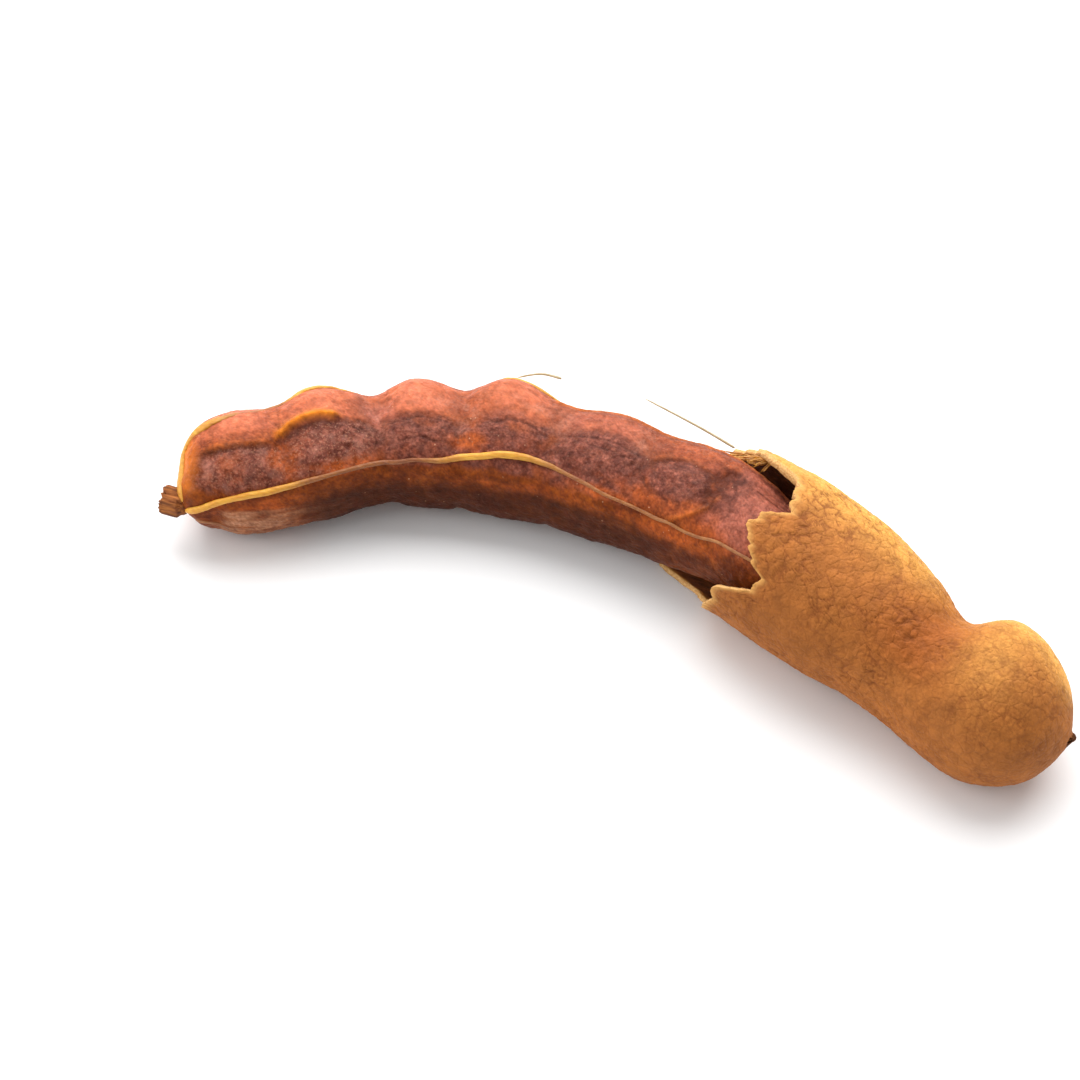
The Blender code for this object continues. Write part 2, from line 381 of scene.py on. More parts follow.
def one_layer(spots, salt):
    """Gradient noise, from about -1 to 1, in blobs one unit across."""
    floor_of = np.floor(spots).astype(np.int64)
    inside_cell = spots - floor_of
    ease = inside_cell ** 3 * (inside_cell * (inside_cell * 6 - 15) + 10)
    total = np.zeros(len(spots))
    for corner in CORNERS:
        slope = SLOPES[(scrambled(floor_of + corner, salt) >> 8) % len(SLOPES)]
        weight = np.prod(np.where(corner == 1, ease, 1 - ease), axis=1)
        total += weight * ((inside_cell - corner) * slope).sum(1)
    return total * 1.5


def mottle(places, size, layers=3, stretch=(1, 1, 1)):
    """A smooth random value from about -1 to 1 for each place, in blobs of this size."""
    spots = places / size / np.array(stretch)
    return sum(one_layer(spots * 2 ** layer, layer) / 2 ** layer for layer in range(layers))


def cells(places, size):
    """How far each place is from the line between two random cells of this size, from 0 on the line up."""
    spots = places / size
    floor_of = np.floor(spots).astype(np.int64)
    first = np.full(len(spots), FAR_CELL)
    second = np.full(len(spots), FAR_CELL)
    for neighbour in NEIGHBOURS:
        corner = floor_of + neighbour
        shifts = [(scrambled(corner, k) >> 4) % 4096 / 4096 for k in range(3)]
        distance = np.linalg.norm(corner + np.stack(shifts, 1) - spots, axis=1)
        second = np.minimum(second, np.maximum(first, distance))
        first = np.minimum(first, distance)
    return second - first


print("noise is ready, with", len(SLOPES), "slopes")

# %% Routes drawn on a skin
ROUTE_REACH = 6.0


def smooth_route(places, per_step=8):
    """A smooth line of points through a few given ones."""
    rows = np.array(places, float)
    rows = np.concatenate([[2 * rows[0] - rows[1]], rows, [2 * rows[-1] - rows[-2]]])
    t = np.arange(per_step)[:, None] / per_step
    made = []
    for a, b, c, d in zip(rows, rows[1:], rows[2:], rows[3:]):
        made.append(0.5 * (2 * b + (c - a) * t + (2 * a - 5 * b + 4 * c - d) * t ** 2
                           + (3 * b - a - 3 * c + d) * t ** 3))
    return np.concatenate([*made, rows[-2:-1]])


def off_route(s, angle, route, radius):
    """How far each place is from a route of (s, angle) places, and its side: 1 nearer the outer side."""
    line_up = smooth_route(route)
    stops = np.stack([line_up[:, 0], np.radians(line_up[:, 1]) * radius], 1)
    here = np.stack([s, np.radians(angle) * radius], 1)
    least = np.full(len(s), 1e9)
    side = np.ones(len(s))
    close = (s > stops[:, 0].min() - ROUTE_REACH) & (s < stops[:, 0].max() + ROUTE_REACH)
    for a, b in zip(stops, stops[1:]):
        run = b - a
        share = np.clip((here[close] - a) @ run / max(run @ run, 1e-9), 0, 1)
        gap = here[close] - a - share[:, None] * run
        distance = np.hypot(gap[:, 0], gap[:, 1])
        nearer = distance < least[close]
        spots = np.flatnonzero(close)[nearer]
        least[spots] = distance[nearer]
        side[spots] = np.sign(run[1] * gap[nearer, 0] - run[0] * gap[nearer, 1])
    return least, side


print("routes are ready")

# %% [markdown]
# ## The bare pulp
#
# The pulp is a date-like paste round a row of seeds, with a leathery skin that dried against the shell.
# It swells over each seed and pinches between them. Where a seed presses on the skin it has dried to a
# dark purple-brown oval; between the ovals and along the outer side of the bend it stays salmon and
# orange, with a painted highlight on the crowns, and the inner side that faces the stalk's fibres is a
# darker orange-brown, deepened with painted shade. The frame gives the swellings, so this step lays a
# fine roll on the frame's pulp and rounds off its facets. Everything smaller, such as sunken ovals, thick
# lips, pinches and wrinkles, is then moved in or out along the skin's own direction, and the same masks
# that shape it colour it, with a painted highlight on the lips and painted shade under them and in the
# pinches and creases, so colour and relief always agree.

# %% Lay a fine skin on the frame's pulp
PULP_SIDES = 216
PULP_RINGS = 430
PULP_RADIUS = 8.2
PULP_CAP = 5.5
PEELED_TO = 94.0
HIDDEN_PACE = 0.2


def closing(gap, cap):
    """A roundly closed end: 0 at the end itself, and up to 1 at this many millimetres from it."""
    return np.sqrt(1 - np.clip(1 - gap / cap, 0, 1) ** 2)


def pulp_width(s):
    """The pulp's half width, closing roundly at both ends."""
    return PULP_RADIUS * closing(np.minimum(s, pulp_end - s), PULP_CAP)


pulp_bm = bmesh.new()
pulp_vertices, share, pulp_angle = roll(pulp_bm, PULP_SIDES, PULP_RINGS)
pulp_s = rings_along(pulp_width, 0.0, pulp_end, lambda s: np.where(s < PEELED_TO, 1, HIDDEN_PACE))(share)
pulp_pattern = smooth_pattern(cad_pulp, pulp_width, 0.0, pulp_end)
pulp_r = np.nan_to_num(cast(pulp_pattern, pulp_s, pulp_angle))
pulp_round = np.radians(pulp_angle) * PULP_RADIUS
places = spots_at(pulp_s, pulp_angle, pulp_r)
move_to(pulp_vertices, places)
pulp_out = outward_of(pulp_bm, pulp_vertices)
print("pulp skin of", len(pulp_vertices), "vertices")

# %% Seed ovals: where they are and how they look
# (s, angle, half length, half height in mm, squareness, depth, darkness)
OVALS = [
    (8.6, 130, 6.3, 3.1, 5, 0.28, 0.74),
    (21.4, 116, 6.2, 3.5, 2.8, 0.16, 0.95),
    (34.4, 117, 5.6, 3.4, 2.4, -0.05, 0.62),
    (47.6, 108, 6.0, 3.6, 2.4, -0.05, 0.4),
    (61.4, 104, 6.6, 3.6, 2.4, -0.08, 0.8),
    (74.1, 103, 4.8, 3.3, 2.1, -0.10, 0.85),
    (86.0, 96, 6.5, 5.0, 2.2, -0.10, 0.25),
]
TOPSIDE = 110.0
UNDERSIDE = 262.0

waver = mottle(places, 4.0, 2)
ragged = mottle(places + 50, 1.1, 2)


def oval_mask(s0, angle0, half_length, half_height, squareness, softness=0.24):
    """1 inside an oval on the pulp's skin and 0 outside, with a slightly ragged edge."""
    along = np.abs(pulp_s - s0 + 0.5 * waver) / half_length
    across = np.abs(np.radians(turn_between(pulp_angle, angle0)) * PULP_RADIUS + 0.35 * ragged) / half_height
    distance = (along ** squareness + across ** squareness) ** (1 / squareness)
    return 1 - step(1 - softness, 1 + softness, distance)


relief = np.zeros(len(places))
purple = np.zeros(len(places))
upper_rim_shade = np.zeros(len(places))
for s0, angle0, half_length, half_height, squareness, depth, darkness in OVALS:
    seen = oval_mask(s0, angle0, half_length, half_height, squareness)
    unseen = oval_mask(s0 + 0.8, UNDERSIDE + 0.4 * (angle0 - TOPSIDE), half_length, half_height, 2.3)
    edge = 4 * seen * (1 - seen)
    relief -= depth * seen + 0.12 * edge + 0.15 * unseen
    # painted shade along the upper edge of each sunken oval, under the skin above it
    upper_rim_shade = np.maximum(upper_rim_shade, darkness * edge * step(0, 20, angle0 + 16 - pulp_angle))
    purple = np.maximum(purple, np.maximum(darkness * seen, 0.9 * unseen))
band_top = 96 + 8 * waver - 10 * step(40, 56, pulp_s)
band = within(pulp_s, (12, 17), (66, 72)) * step(0, 9, pulp_angle - band_top)
band *= (1 - step(140, 150, pulp_angle)) * np.clip(0.75 + 0.5 * mottle(places + 17, 3.2, 2), 0.3, 0.9)
purple = np.maximum(purple, band)
print("ovals cover", round(float(purple.mean()), 2), "of the skin")

# %% Lips and ridges
# (places (s, angle), height, width, strength of the painted highlight on it and of the painted shade under
# it)
LIPS = [
    ([(14.4, 99), (15.8, 91), (17.8, 86), (20.0, 85), (21.8, 87)], 0.8, 0.65, 1.0),
    ([(2.2, 128), (2.8, 112), (4.5, 108), (8.0, 107), (11.6, 107)], 0.22, 0.55, 0.15),
    ([(75.6, 143), (77.4, 136), (79.2, 126), (80.4, 114), (80.8, 102)], 0.34, 0.38, 0.22),
    ([(68.9, 96), (70.2, 84), (73.0, 78), (76.0, 80), (78.6, 90)], 0.10, 0.35, 0.1),
    ([(52.5, 44), (56.0, 41), (62.0, 41), (69.0, 40), (78.0, 38), (90.0, 34)], 0.25, 0.5, 0.5),
    ([(41.5, 93), (45.5, 82), (51.0, 78), (53.4, 90)], 0.12, 0.5, 0.05),
]
INNER_TOP = 120.0

ridge_highlight = np.zeros(len(places))
shade = np.zeros(len(places))
for route, height, width, shading_strength in LIPS:
    distance, side = off_route(pulp_s, turn_between(pulp_angle, INNER_TOP) + INNER_TOP, route, PULP_RADIUS)
    gap = distance * np.where(side > 0, 0.7, 1.6)
    relief += height * hump(gap, width)
    # a painted highlight along the top of each lip, and painted shade under its lower side
    ridge_highlight = np.maximum(ridge_highlight, shading_strength * hump(gap, width * 1.1))
    shade = np.maximum(shade, shading_strength * hump(distance - 1.1, 0.6) * (side < 0))
print(len(LIPS), "lips raised")

# %% Pinches between the seeds
# (s, from angle, to angle, depth, width)
PINCHES = [
    (28.9, 60, 150, 0.55, 1.3), (40.3, 40, 128, 0.40, 1.2), (54.2, 60, 128, 0.20, 1.0),
    (14.3, 96, 142, 0.28, 0.9), (68.0, 60, 126, 0.18, 1.0), (80.6, 60, 120, 0.45, 1.3),
    (29.5, 200, 330, 0.4, 1.5), (41.0, 200, 330, 0.4, 1.4), (55.0, 200, 330, 0.3, 1.4),
]
PINCH_FADE_OUT = 14
PINCH_FADE_IN = 10
FLANK_FOLDS = (26.4, 39.2, 53.2, 66.6)
# the angles over which each one rises, and then falls
WAIST_ANGLES = (50, 66), (118, 132)
FLANK_ANGLES = (44, 62), (104, 120)


def unrolled(along, around, level=0.0):
    """The skin's places as if unrolled flat, drawn out by these shares, for patterns that run with it."""
    return np.stack([pulp_s / along, pulp_round / around, np.full(len(pulp_s), level)], 1)


for s0, low, high, depth, width in PINCHES:
    starts = low - PINCH_FADE_OUT, low + PINCH_FADE_IN
    ends = high - PINCH_FADE_IN, high + PINCH_FADE_OUT
    reach = within(pulp_angle, starts, ends)
    across = pulp_s - s0 + 0.9 * waver
    relief -= depth * hump(across, width) * reach
    # painted shade in each pinch
    shade = np.maximum(shade, 0.4 * depth * hump(across, 0.6 * width) * reach)
upright = np.clip(1 - 3 * np.abs(mottle(unrolled(1, 5), 1.1, 2)), 0, 1)
waists = strongest(hump(pulp_s - s0 + waver, 2.6) for s0, low, *_ in PINCHES if low < 180)
waists = waists * within(pulp_angle, *WAIST_ANGLES)
relief -= 0.10 * upright * waists
# painted shade in the upright wrinkles at the waists
shade = np.maximum(shade, 0.6 * upright * waists)
flank = strongest(hump(pulp_s - s0 + 0.8 * waver, 1.5) for s0 in FLANK_FOLDS)
# painted shade in the fold beside each lobe
shade = np.maximum(shade, 0.42 * flank * within(pulp_angle, *FLANK_ANGLES))
print(len(PINCHES), "pinches pressed in")

# %% Fine creases, with painted shade in them
CREASES = [
    [(29.5, 101), (33.5, 97), (38.5, 99)], [(45.0, 96), (49.0, 93), (53.5, 99)],
    [(55.0, 92), (60.0, 88), (66.0, 91)], [(3.2, 110), (7.5, 109), (12.0, 109)],
    [(69.2, 96), (72.5, 82), (78.2, 86)], [(59.5, 98), (62.5, 101), (67.0, 99)],
    [(24.6, 98), (26.5, 108), (27.5, 122)], [(79.5, 72), (82.0, 88), (82.6, 104)],
    [(84.0, 70), (88.0, 74), (92.0, 72)], [(31.0, 124), (34.0, 119), (38.0, 121)],
    [(68.3, 112), (70.0, 122), (74.0, 128)],
]
gully = np.zeros(len(places))
for route in CREASES:
    distance, side = off_route(pulp_s + 0.35 * ragged, pulp_angle + 2.5 * waver, route, PULP_RADIUS)
    gully = np.maximum(gully, hump(distance, 0.20))
relief -= 0.12 * gully
# painted shade in the creases and along the ovals' upper edges
shade = np.maximum(shade, np.maximum(0.85 * gully, 0.75 * upper_rim_shade))
print(len(CREASES), "creases pressed in")

# %% Swellings that the frame leaves out
# (s, angle, height in mm, half length, half spread in degrees)
PULP_SWELLS = [
    (20.5, 38, 0.8, 4.0, 48), (33.2, 38, 1.0, 3.4, 48), (45.4, 38, 1.8, 4.0, 44), (28.4, 38, -0.8, 2.6, 50),
    (40.2, 38, -0.3, 3.0, 46), (54.6, 38, -0.1, 3.0, 46), (61.5, 38, 0.3, 4.0, 46), (89.0, 48, -2.5, 5.0, 42),
    (97.0, 48, -2.4, 6.0, 42), (1.0, 172, 1.1, 2.4, 34), (4.0, 204, -0.6, 2.2, 34), (9.0, 205, 0.2, 6.0, 30),
    (28.0, 205, -0.8, 6.0, 34), (28.0, 38, -0.2, 2, 30), (86.0, 212, -0.8, 6.0, 30),
]


def swellings(s, angle, swells):
    """The height added by a few broad, soft bulges and hollows."""
    return sum(height * patch(s, angle, s0, angle0, length, spread)
               for s0, angle0, height, length, spread in swells)


relief = (relief + swellings(pulp_s, pulp_angle, PULP_SWELLS)) * step(0.2, 3.5, pulp_r)
relief += 0.7 * (1 - step(0.3, 4.5, pulp_s))
print("lobes stand up to", round(float(relief.max()), 2), "mm proud of the frame")

# %% Wrinkles and grain
folds = 1 - np.abs(mottle(places, 2.6, 3))
pucker = 1 - np.abs(mottle(places + 9, 1.3, 3, stretch=(0.8, 1.3, 1.3)))
lumps = mottle(places + 31, 5.0, 2)
grain = mottle(places + 71, 0.55, 2)
exposed = (1 - step(PEELED_TO, PEELED_TO + 4, pulp_s)) * (1 - 0.8 * ridge_highlight)
relief += exposed * (0.16 * lumps + 0.12 * (folds - 0.75) + (0.06 + 0.08 * purple) * (pucker - 0.75)
                     + (0.015 + 0.025 * purple) * grain)
places = places + relief[:, None] * pulp_out
places[:, 2] = np.maximum(places[:, 2], 0.0)
move_to(pulp_vertices, places)
# dark lines along the fine wrinkles, laid on as painted shade
crease = np.clip(1 - 5 * np.abs(mottle(places + 9, 1.5, 3, stretch=(0.8, 1.3, 1.3))), 0, 1)
crease = np.maximum(crease, 0.8 * np.clip(1 - 4 * np.abs(mottle(places + 63, 0.8, 2)), 0, 1))
print("relief from", round(float(relief.min()), 2), "to", round(float(relief.max()), 2), "mm")

# %% [markdown]
# ## Where each colour of the pulp lies
#
# The pulp isn't one brown. The crowns of its lobes get a painted salmon highlight, the belly and the
# inner side are a darker orange-brown with painted shade laid on them under the fibres, dried membrane
# clings below the stub, and the paste glows orange where it is thin or moist: at the blunt end and in
# small embers between the ovals. Dust and streaks gather in the pinches, painted shade darkens the
# pinches and the valleys beside the ovals, and tiny sugar crystals frost the ovals, with painted glints
# on them. These could be painted by hand on a texture. Here each is a mask, a number from 0 to 1 for
# each vertex, so it follows the skin if the frame changes.

# %% Belly, membrane and painted crown highlights
# (s of a lobe, how much light its crown catches)
LOBES = [(8.0, 1.0), (20.5, 0.9), (34.0, 0.9), (48.0, 0.8), (62.0, 0.7), (75.5, 0.1)]
# the angles over which each one rises, and then falls
BELLY_STARTS, BELLY_ENDS = (132, 152), (225, 250)
MEMBRANE_ANGLES = (172, 178), (216, 232)
CROWN_ANGLES = (30, 50), (80, 104)

belly = step(*BELLY_STARTS, pulp_angle + 4 * waver) * (1 - step(*BELLY_ENDS, pulp_angle))
streak = mottle(unrolled(7, 1), 0.9, 3)
membrane = within(pulp_angle, *MEMBRANE_ANGLES) * np.clip(0.75 + 0.9 * streak, 0.1, 1)
membrane *= step(3.4, 5.4, pulp_s - hump(pulp_angle - 185, 16)) * (1 - step(16, 26, pulp_s + waver))
pale = membrane * hump(pulp_s - 8.0, 6.0)
lobes = strongest(light * hump(pulp_s - s0, 4.5) for s0, light in LOBES)
# a painted highlight on the crown of each lobe
crown_highlight = within(pulp_angle, *CROWN_ANGLES) * (0.3 + 0.7 * lobes) * (1 - 0.5 * step(50, 58, pulp_s))
fibrous = mottle(unrolled(2.6, 1, 5.0), 0.75, 3)
streaks = np.clip(0.25 + 1.1 * fibrous, 0, 1) * (0.45 + 0.35 * purple) * (1 - 0.6 * crown_highlight)
print("the belly takes up", round(float(belly.mean()), 2), "of the skin")

# %% Painted shade, and dust
# (s, angle, half length, half spread in degrees)
DUST = [(28.2, 88, 2.0, 26), (41.2, 84, 2.2, 26), (54.6, 78, 2.0, 22), (66.4, 76, 1.6, 16),
        (36.0, 74, 4.0, 9), (50.0, 70, 4.0, 8), (3.8, 132, 1.2, 8)]

# painted shade on the lower belly, under the fibres
underside_shade = belly * step(13, 20, pulp_s) * (1 - 0.5 * step(70, 80, pulp_s)) * step(154, 178, pulp_angle)
underside_shade = np.maximum(underside_shade, belly * hump(pulp_s - 60.0, 14.0) * step(150, 168, pulp_angle))
# painted shade in the pinch beside the sixth oval, near the rim
valley_shade = hump(pulp_s - 80.4 + 0.8 * waver, 2.8) * within(pulp_angle, (52, 70), (112, 124))
# painted shade in the valley between the fifth and sixth ovals
shade = np.maximum(shade, 0.9 * hump(pulp_s - 68.4 + waver, 2.4) * hump(pulp_angle - 94, 22))
shade = np.clip(shade + valley_shade * (0.85 + 0.5 * ragged), 0, 1)
dust = strongest(patch(pulp_s + 0.8 * waver, pulp_angle, *where) for where in DUST)
dust = dust * np.clip(0.6 + 0.9 * mottle(places + 27, 1.6, 3), 0, 1)
print("shade reaches", round(float((shade > 0.5).mean()), 2), "of the skin")

# %% Mauve, embers and glow
# (s, angle, half length, half spread in degrees, strength)
EMBERS = [
    (14.4, 122, 1.9, 20, 1.0), (41.6, 120, 2.6, 9, 1.0), (23.0, 139, 5.0, 8, 1.0), (69.5, 130, 6.0, 10, 0.45),
    (64.0, 140, 6.0, 6, 0.8), (11.0, 170, 5.0, 5, 0.5), (76.0, 156, 8.0, 9, 0.8), (82.0, 138, 5.0, 12, 0.6),
    (47.0, 158, 7.0, 5, 0.4), (12.0, 163, 4.0, 6, 0.5), (57.0, 157, 9.0, 6, 0.45), (6.6, 126, 1.7, 11, 0.5),
]
mauve = strongest([
    step(79, 82, pulp_s) * (1 - belly),
    0.5 * within(pulp_s, (50, 58), (64, 70)) * within(pulp_angle, (44, 60), (84, 98)),
    hump(pulp_s - 28.6 + waver, 1.8) * within(pulp_angle, (60, 80), (112, 124)),
])
ember = strongest(strength * patch(pulp_s, pulp_angle, *where) for *where, strength in EMBERS)
glow = (1 - step(1.2, 2.9, pulp_s + 0.4 * waver)) * within(pulp_angle, (20, 60), (140, 164))
pulp_masks = {
    "purple": purple, "ridge_highlight": ridge_highlight, "shade": shade, "belly": belly, "membrane": membrane, "pale": pale,
    "glow": glow, "crown_highlight": crown_highlight, "underside_shade": underside_shade, "mauve": mauve, "ember": ember, "dust": dust,
    "crease": crease * exposed * (1 - 0.5 * crown_highlight),
    "streaks": streaks * exposed,
    "crystals": purple * (0.3 + 0.7 * (1 - step(24, 30, pulp_s))),
}
print("masks:", ", ".join(pulp_masks))

# %% [markdown]
# ## Building finishes from nodes
#
# A finish is a Principled shader whose colour, roughness and bump come from small procedural textures.
# Writing each node out in full takes six lines, so a few helpers below make one node each and hand back
# its output. Patterns read Object coordinates, in metres, so a grain of half a millimetre is the same
# size on every piece. Masks painted on the mesh above come in through Attribute nodes.

# %% Helpers that make one node each


def srgb(red, green, blue):
    """A colour from its everyday 0-255 numbers, as the linear light that shaders work in."""
    return tuple(((v / 255 + 0.055) / 1.055) ** 2.4 for v in (red, green, blue)) + (1.0,)


def wire(tree, value, socket):
    """Links an output to a socket, or sets the socket to a plain value."""
    if isinstance(value, bpy.types.NodeSocket):
        tree.links.new(value, socket)
    else:
        socket.default_value = value


def mask_of(tree, name):
    """A mask painted on the mesh."""
    made = tree.nodes.new("ShaderNodeAttribute")
    made.attribute_name = name
    return made.outputs["Fac"]


def between(tree, value, low, high, out_low=0.0, out_high=1.0):
    """Stretches the range low to high of a value to out_low to out_high, and clips the rest."""
    made = tree.nodes.new("ShaderNodeMapRange")
    wire(tree, value, made.inputs["Value"])
    for socket, number in (("From Min", low), ("From Max", high), ("To Min", out_low), ("To Max", out_high)):
        made.inputs[socket].default_value = number
    return made.outputs["Result"]


def clouds(tree, size, detail, low, high, out_low=0.0, out_high=1.0, stretch=(1, 1, 1), shift=0.0):
    """Noise in blobs of this many millimetres, its range low to high stretched in the same way."""
    mapping = tree.nodes.new("ShaderNodeMapping")
    wire(tree, tree.nodes.new("ShaderNodeTexCoord").outputs["Object"], mapping.inputs["Vector"])
    mapping.inputs["Location"].default_value = (shift, shift, shift)
    mapping.inputs["Scale"].default_value = stretch
    made = tree.nodes.new("ShaderNodeTexNoise")
    wire(tree, mapping.outputs["Vector"], made.inputs["Vector"])
    made.inputs["Scale"].default_value = 1 / (size * MM)
    made.inputs["Detail"].default_value = detail
    return between(tree, made.outputs["Fac"], low, high, out_low, out_high)


def scattered(tree, size, feature="F1"):
    """The distance to the nearest of points scattered this many millimetres apart, or to a cell's edge."""
    made = tree.nodes.new("ShaderNodeTexVoronoi")
    made.feature = feature
    wire(tree, tree.nodes.new("ShaderNodeTexCoord").outputs["Object"], made.inputs["Vector"])
    made.inputs["Scale"].default_value = 1 / (size * MM)
    return made.outputs["Distance"]


def maths(tree, kind, first, second):
    """One value joined to another by a Math node, such as ADD or MULTIPLY."""
    made = tree.nodes.new("ShaderNodeMath")
    made.operation = kind
    wire(tree, first, made.inputs[0])
    wire(tree, second, made.inputs[1])
    return made.outputs["Value"]


def blend(tree, share, first, second, kind="MIX"):
    """Mixes two colours by a share of the second one."""
    made = tree.nodes.new("ShaderNodeMix")
    made.data_type = "RGBA"
    made.blend_type = kind
    wire(tree, share, made.inputs[0])
    wire(tree, first, made.inputs[6])
    wire(tree, second, made.inputs[7])
    return made.outputs[2]


def bump(tree, height, depth, below=None):
    """Raises a height of 0 to 1 by this many millimetres, on top of another bump if given."""
    made = tree.nodes.new("ShaderNodeBump")
    made.inputs["Distance"].default_value = depth * MM
    wire(tree, height, made.inputs["Height"])
    if below:
        wire(tree, below, made.inputs["Normal"])
    return made.outputs["Normal"]


print("node helpers are ready")

# %% Helpers for whole finishes


def times(tree, first, second):
    """Two values multiplied."""
    return maths(tree, "MULTIPLY", first, second)


def painted(tree, colour, name, share, tone):
    """A colour with another tone laid over it, by this share, where the mask of this name is."""
    return blend(tree, times(tree, mask_of(tree, name), share), colour, srgb(*tone))


def new_finish(name, specular=0.5):
    """A new material, its tree of nodes, and the inputs of its shader."""
    finish = bpy.data.materials.new(name)
    finish.use_nodes = True
    shader = finish.node_tree.nodes["Principled BSDF"]
    shader.inputs["Specular IOR Level"].default_value = specular
    return finish, finish.node_tree, shader.inputs


def complete(tree, shader, colour, roughness, surface=None):
    """Gives a finish its colour, its roughness and its bump."""
    wire(tree, colour, shader["Base Color"])
    wire(tree, roughness, shader["Roughness"])
    if surface:
        wire(tree, surface, shader["Normal"])


def moisten(shader, weight, reach):
    """Lets light travel this far, in metres of red, green and blue, under the surface of a moist thing."""
    shader["Subsurface Weight"].default_value = weight
    shader["Subsurface Radius"].default_value = reach
    shader["Subsurface Scale"].default_value = 1.0


print("finish helpers are ready")

# %% Pulp finish: paste, belly and ovals
# (mask, share, tone) of what lies over paste and ovals: membrane, a painted highlight on the lips, painted
# shade
OVER_OVALS = [
    ("membrane", 0.8, (157, 98, 64)), ("pale", 0.85, (204, 146, 110)), ("ridge_highlight", 1.0, (216, 124, 30)),
    ("underside_shade", 0.8, (54, 22, 6)), ("shade", 0.8, (70, 30, 22)), ("crease", 0.55, (86, 38, 26)),
]

pulp_finish, tree, shader = new_finish("pulp_finish", 0.08)
coarse = clouds(tree, 4.0, 4.0, 0.36, 0.64)
medium = clouds(tree, 1.4, 5.0, 0.36, 0.64, shift=0.3)
fine = clouds(tree, 0.42, 3.0, 0.34, 0.66, shift=0.7)
blotch = clouds(tree, 2.4, 6.0, 0.34, 0.66, -0.2, 0.2, shift=0.9)


def blotched(name, full, most):
    """A mask of the pulp with its edge broken up by blotches."""
    return between(tree, maths(tree, "ADD", mask_of(tree, name), blotch), 0.1, full, 0.0, most)


colour = blend(tree, coarse, srgb(186, 96, 48), srgb(152, 74, 44))
colour = blend(tree, times(tree, medium, 0.45), colour, srgb(128, 58, 36))
# painted highlight on the lobes' crowns
colour = painted(tree, colour, "crown_highlight", between(tree, medium, 0, 1, 1.0, 0.65), (217, 122, 89))
colour = painted(tree, colour, "mauve", 0.75, (182, 108, 90))
# the belly: the inner side's own darker orange-brown, made darker still as painted shade
belly_tone = blend(tree, coarse, srgb(170, 86, 28), srgb(122, 57, 18))
belly_tone = blend(tree, times(tree, medium, 0.5), belly_tone, srgb(96, 36, 14))
colour = blend(tree, mask_of(tree, "belly"), colour, belly_tone)
oval_tone = blend(tree, medium, srgb(114, 60, 49), srgb(170, 101, 82))
oval_tone = blend(tree, times(tree, fine, 0.5), oval_tone, srgb(74, 34, 26))
colour = blend(tree, blotched("purple", 0.75, 0.97), colour, oval_tone)
colour = blend(tree, blotched("ember", 0.8, 0.85), colour, srgb(208, 102, 42))
for name, share, tone in OVER_OVALS:
    colour = painted(tree, colour, name, share, tone)
print("paste, belly and ovals take", len(tree.nodes), "nodes")

# %% Pulp finish: grain, dust, crystals and painted glints
GRAIN_TINT = (0.6, 0.52, 0.5, 1)
STREAK_TINT = (0.5, 0.42, 0.42, 1)

fine_share = times(tree, between(tree, mask_of(tree, "crown_highlight"), 0, 0.7, 0.5, 0.12), fine)
colour = blend(tree, fine_share, colour, GRAIN_TINT, "MULTIPLY")
dapple = clouds(tree, 1.1, 3.0, 0.36, 0.64, 0.84, 1.16, shift=1.7)
colour = blend(tree, 1.0, colour, dapple, "MULTIPLY")
colour = blend(tree, times(tree, mask_of(tree, "streaks"), 0.7), colour, STREAK_TINT, "MULTIPLY")
colour = painted(tree, colour, "dust", between(tree, fine, 0, 1, 0.42, 0.12), (198, 136, 114))
colour = painted(tree, colour, "glow", between(tree, medium, 0, 1, 0.9, 0.5), (228, 122, 28))
haze = clouds(tree, 1.9, 3.0, 0.48, 0.66, 0.0, 0.3, shift=3.1)
colour = painted(tree, colour, "crystals", haze, (192, 132, 114))
frost = clouds(tree, 0.28, 1.0, 0.56, 0.68, 0.0, 0.34, shift=1.3)
colour = painted(tree, colour, "crystals", frost, (200, 142, 112))
# painted glints: tiny bright dots scattered over the pulp
glints = between(tree, scattered(tree, 1.1), 0.12, 0.06)
glints = times(tree, glints, clouds(tree, 3.0, 2.0, 0.52, 0.62, 0.0, 0.5, shift=2.1))
colour = blend(tree, glints, colour, srgb(226, 176, 140))
surface = bump(tree, medium, 0.07, bump(tree, fine, 0.045))
complete(tree, shader, colour, between(tree, medium, 0, 1, 0.40, 0.56), surface)
moisten(shader, 0.12, (0.0022, 0.0009, 0.0004))
pulp = make_piece("pulp_skin", pulp_bm, pulp_masks, [pulp_finish], "pulp")

# %% [markdown]
# ## The broken shell
#
# The shell is a thin, brittle skin, wrinkled into a net of fine cells like dried mud, that breaks off in
# chips and leaves a toothed edge. It could be one roll with a Solidify modifier, but its inside is quite
# unlike its outside: smooth, dark and stringy. So it is two cups, an outer and an inner one, each a roll
# left open at the tear, and bridge_loops joins the two open edges into the broken face of the wall.

# %% Find the torn rim
RIM_COLUMNS = 300
RIM_LOOK = (66.0, 98.0)
RIM_STEP = 0.25
RIM_RADIUS = 12.0
SURE_GAP = 0.8
TOOTH = 0.45
NICK = 0.18
CHIP = 0.7

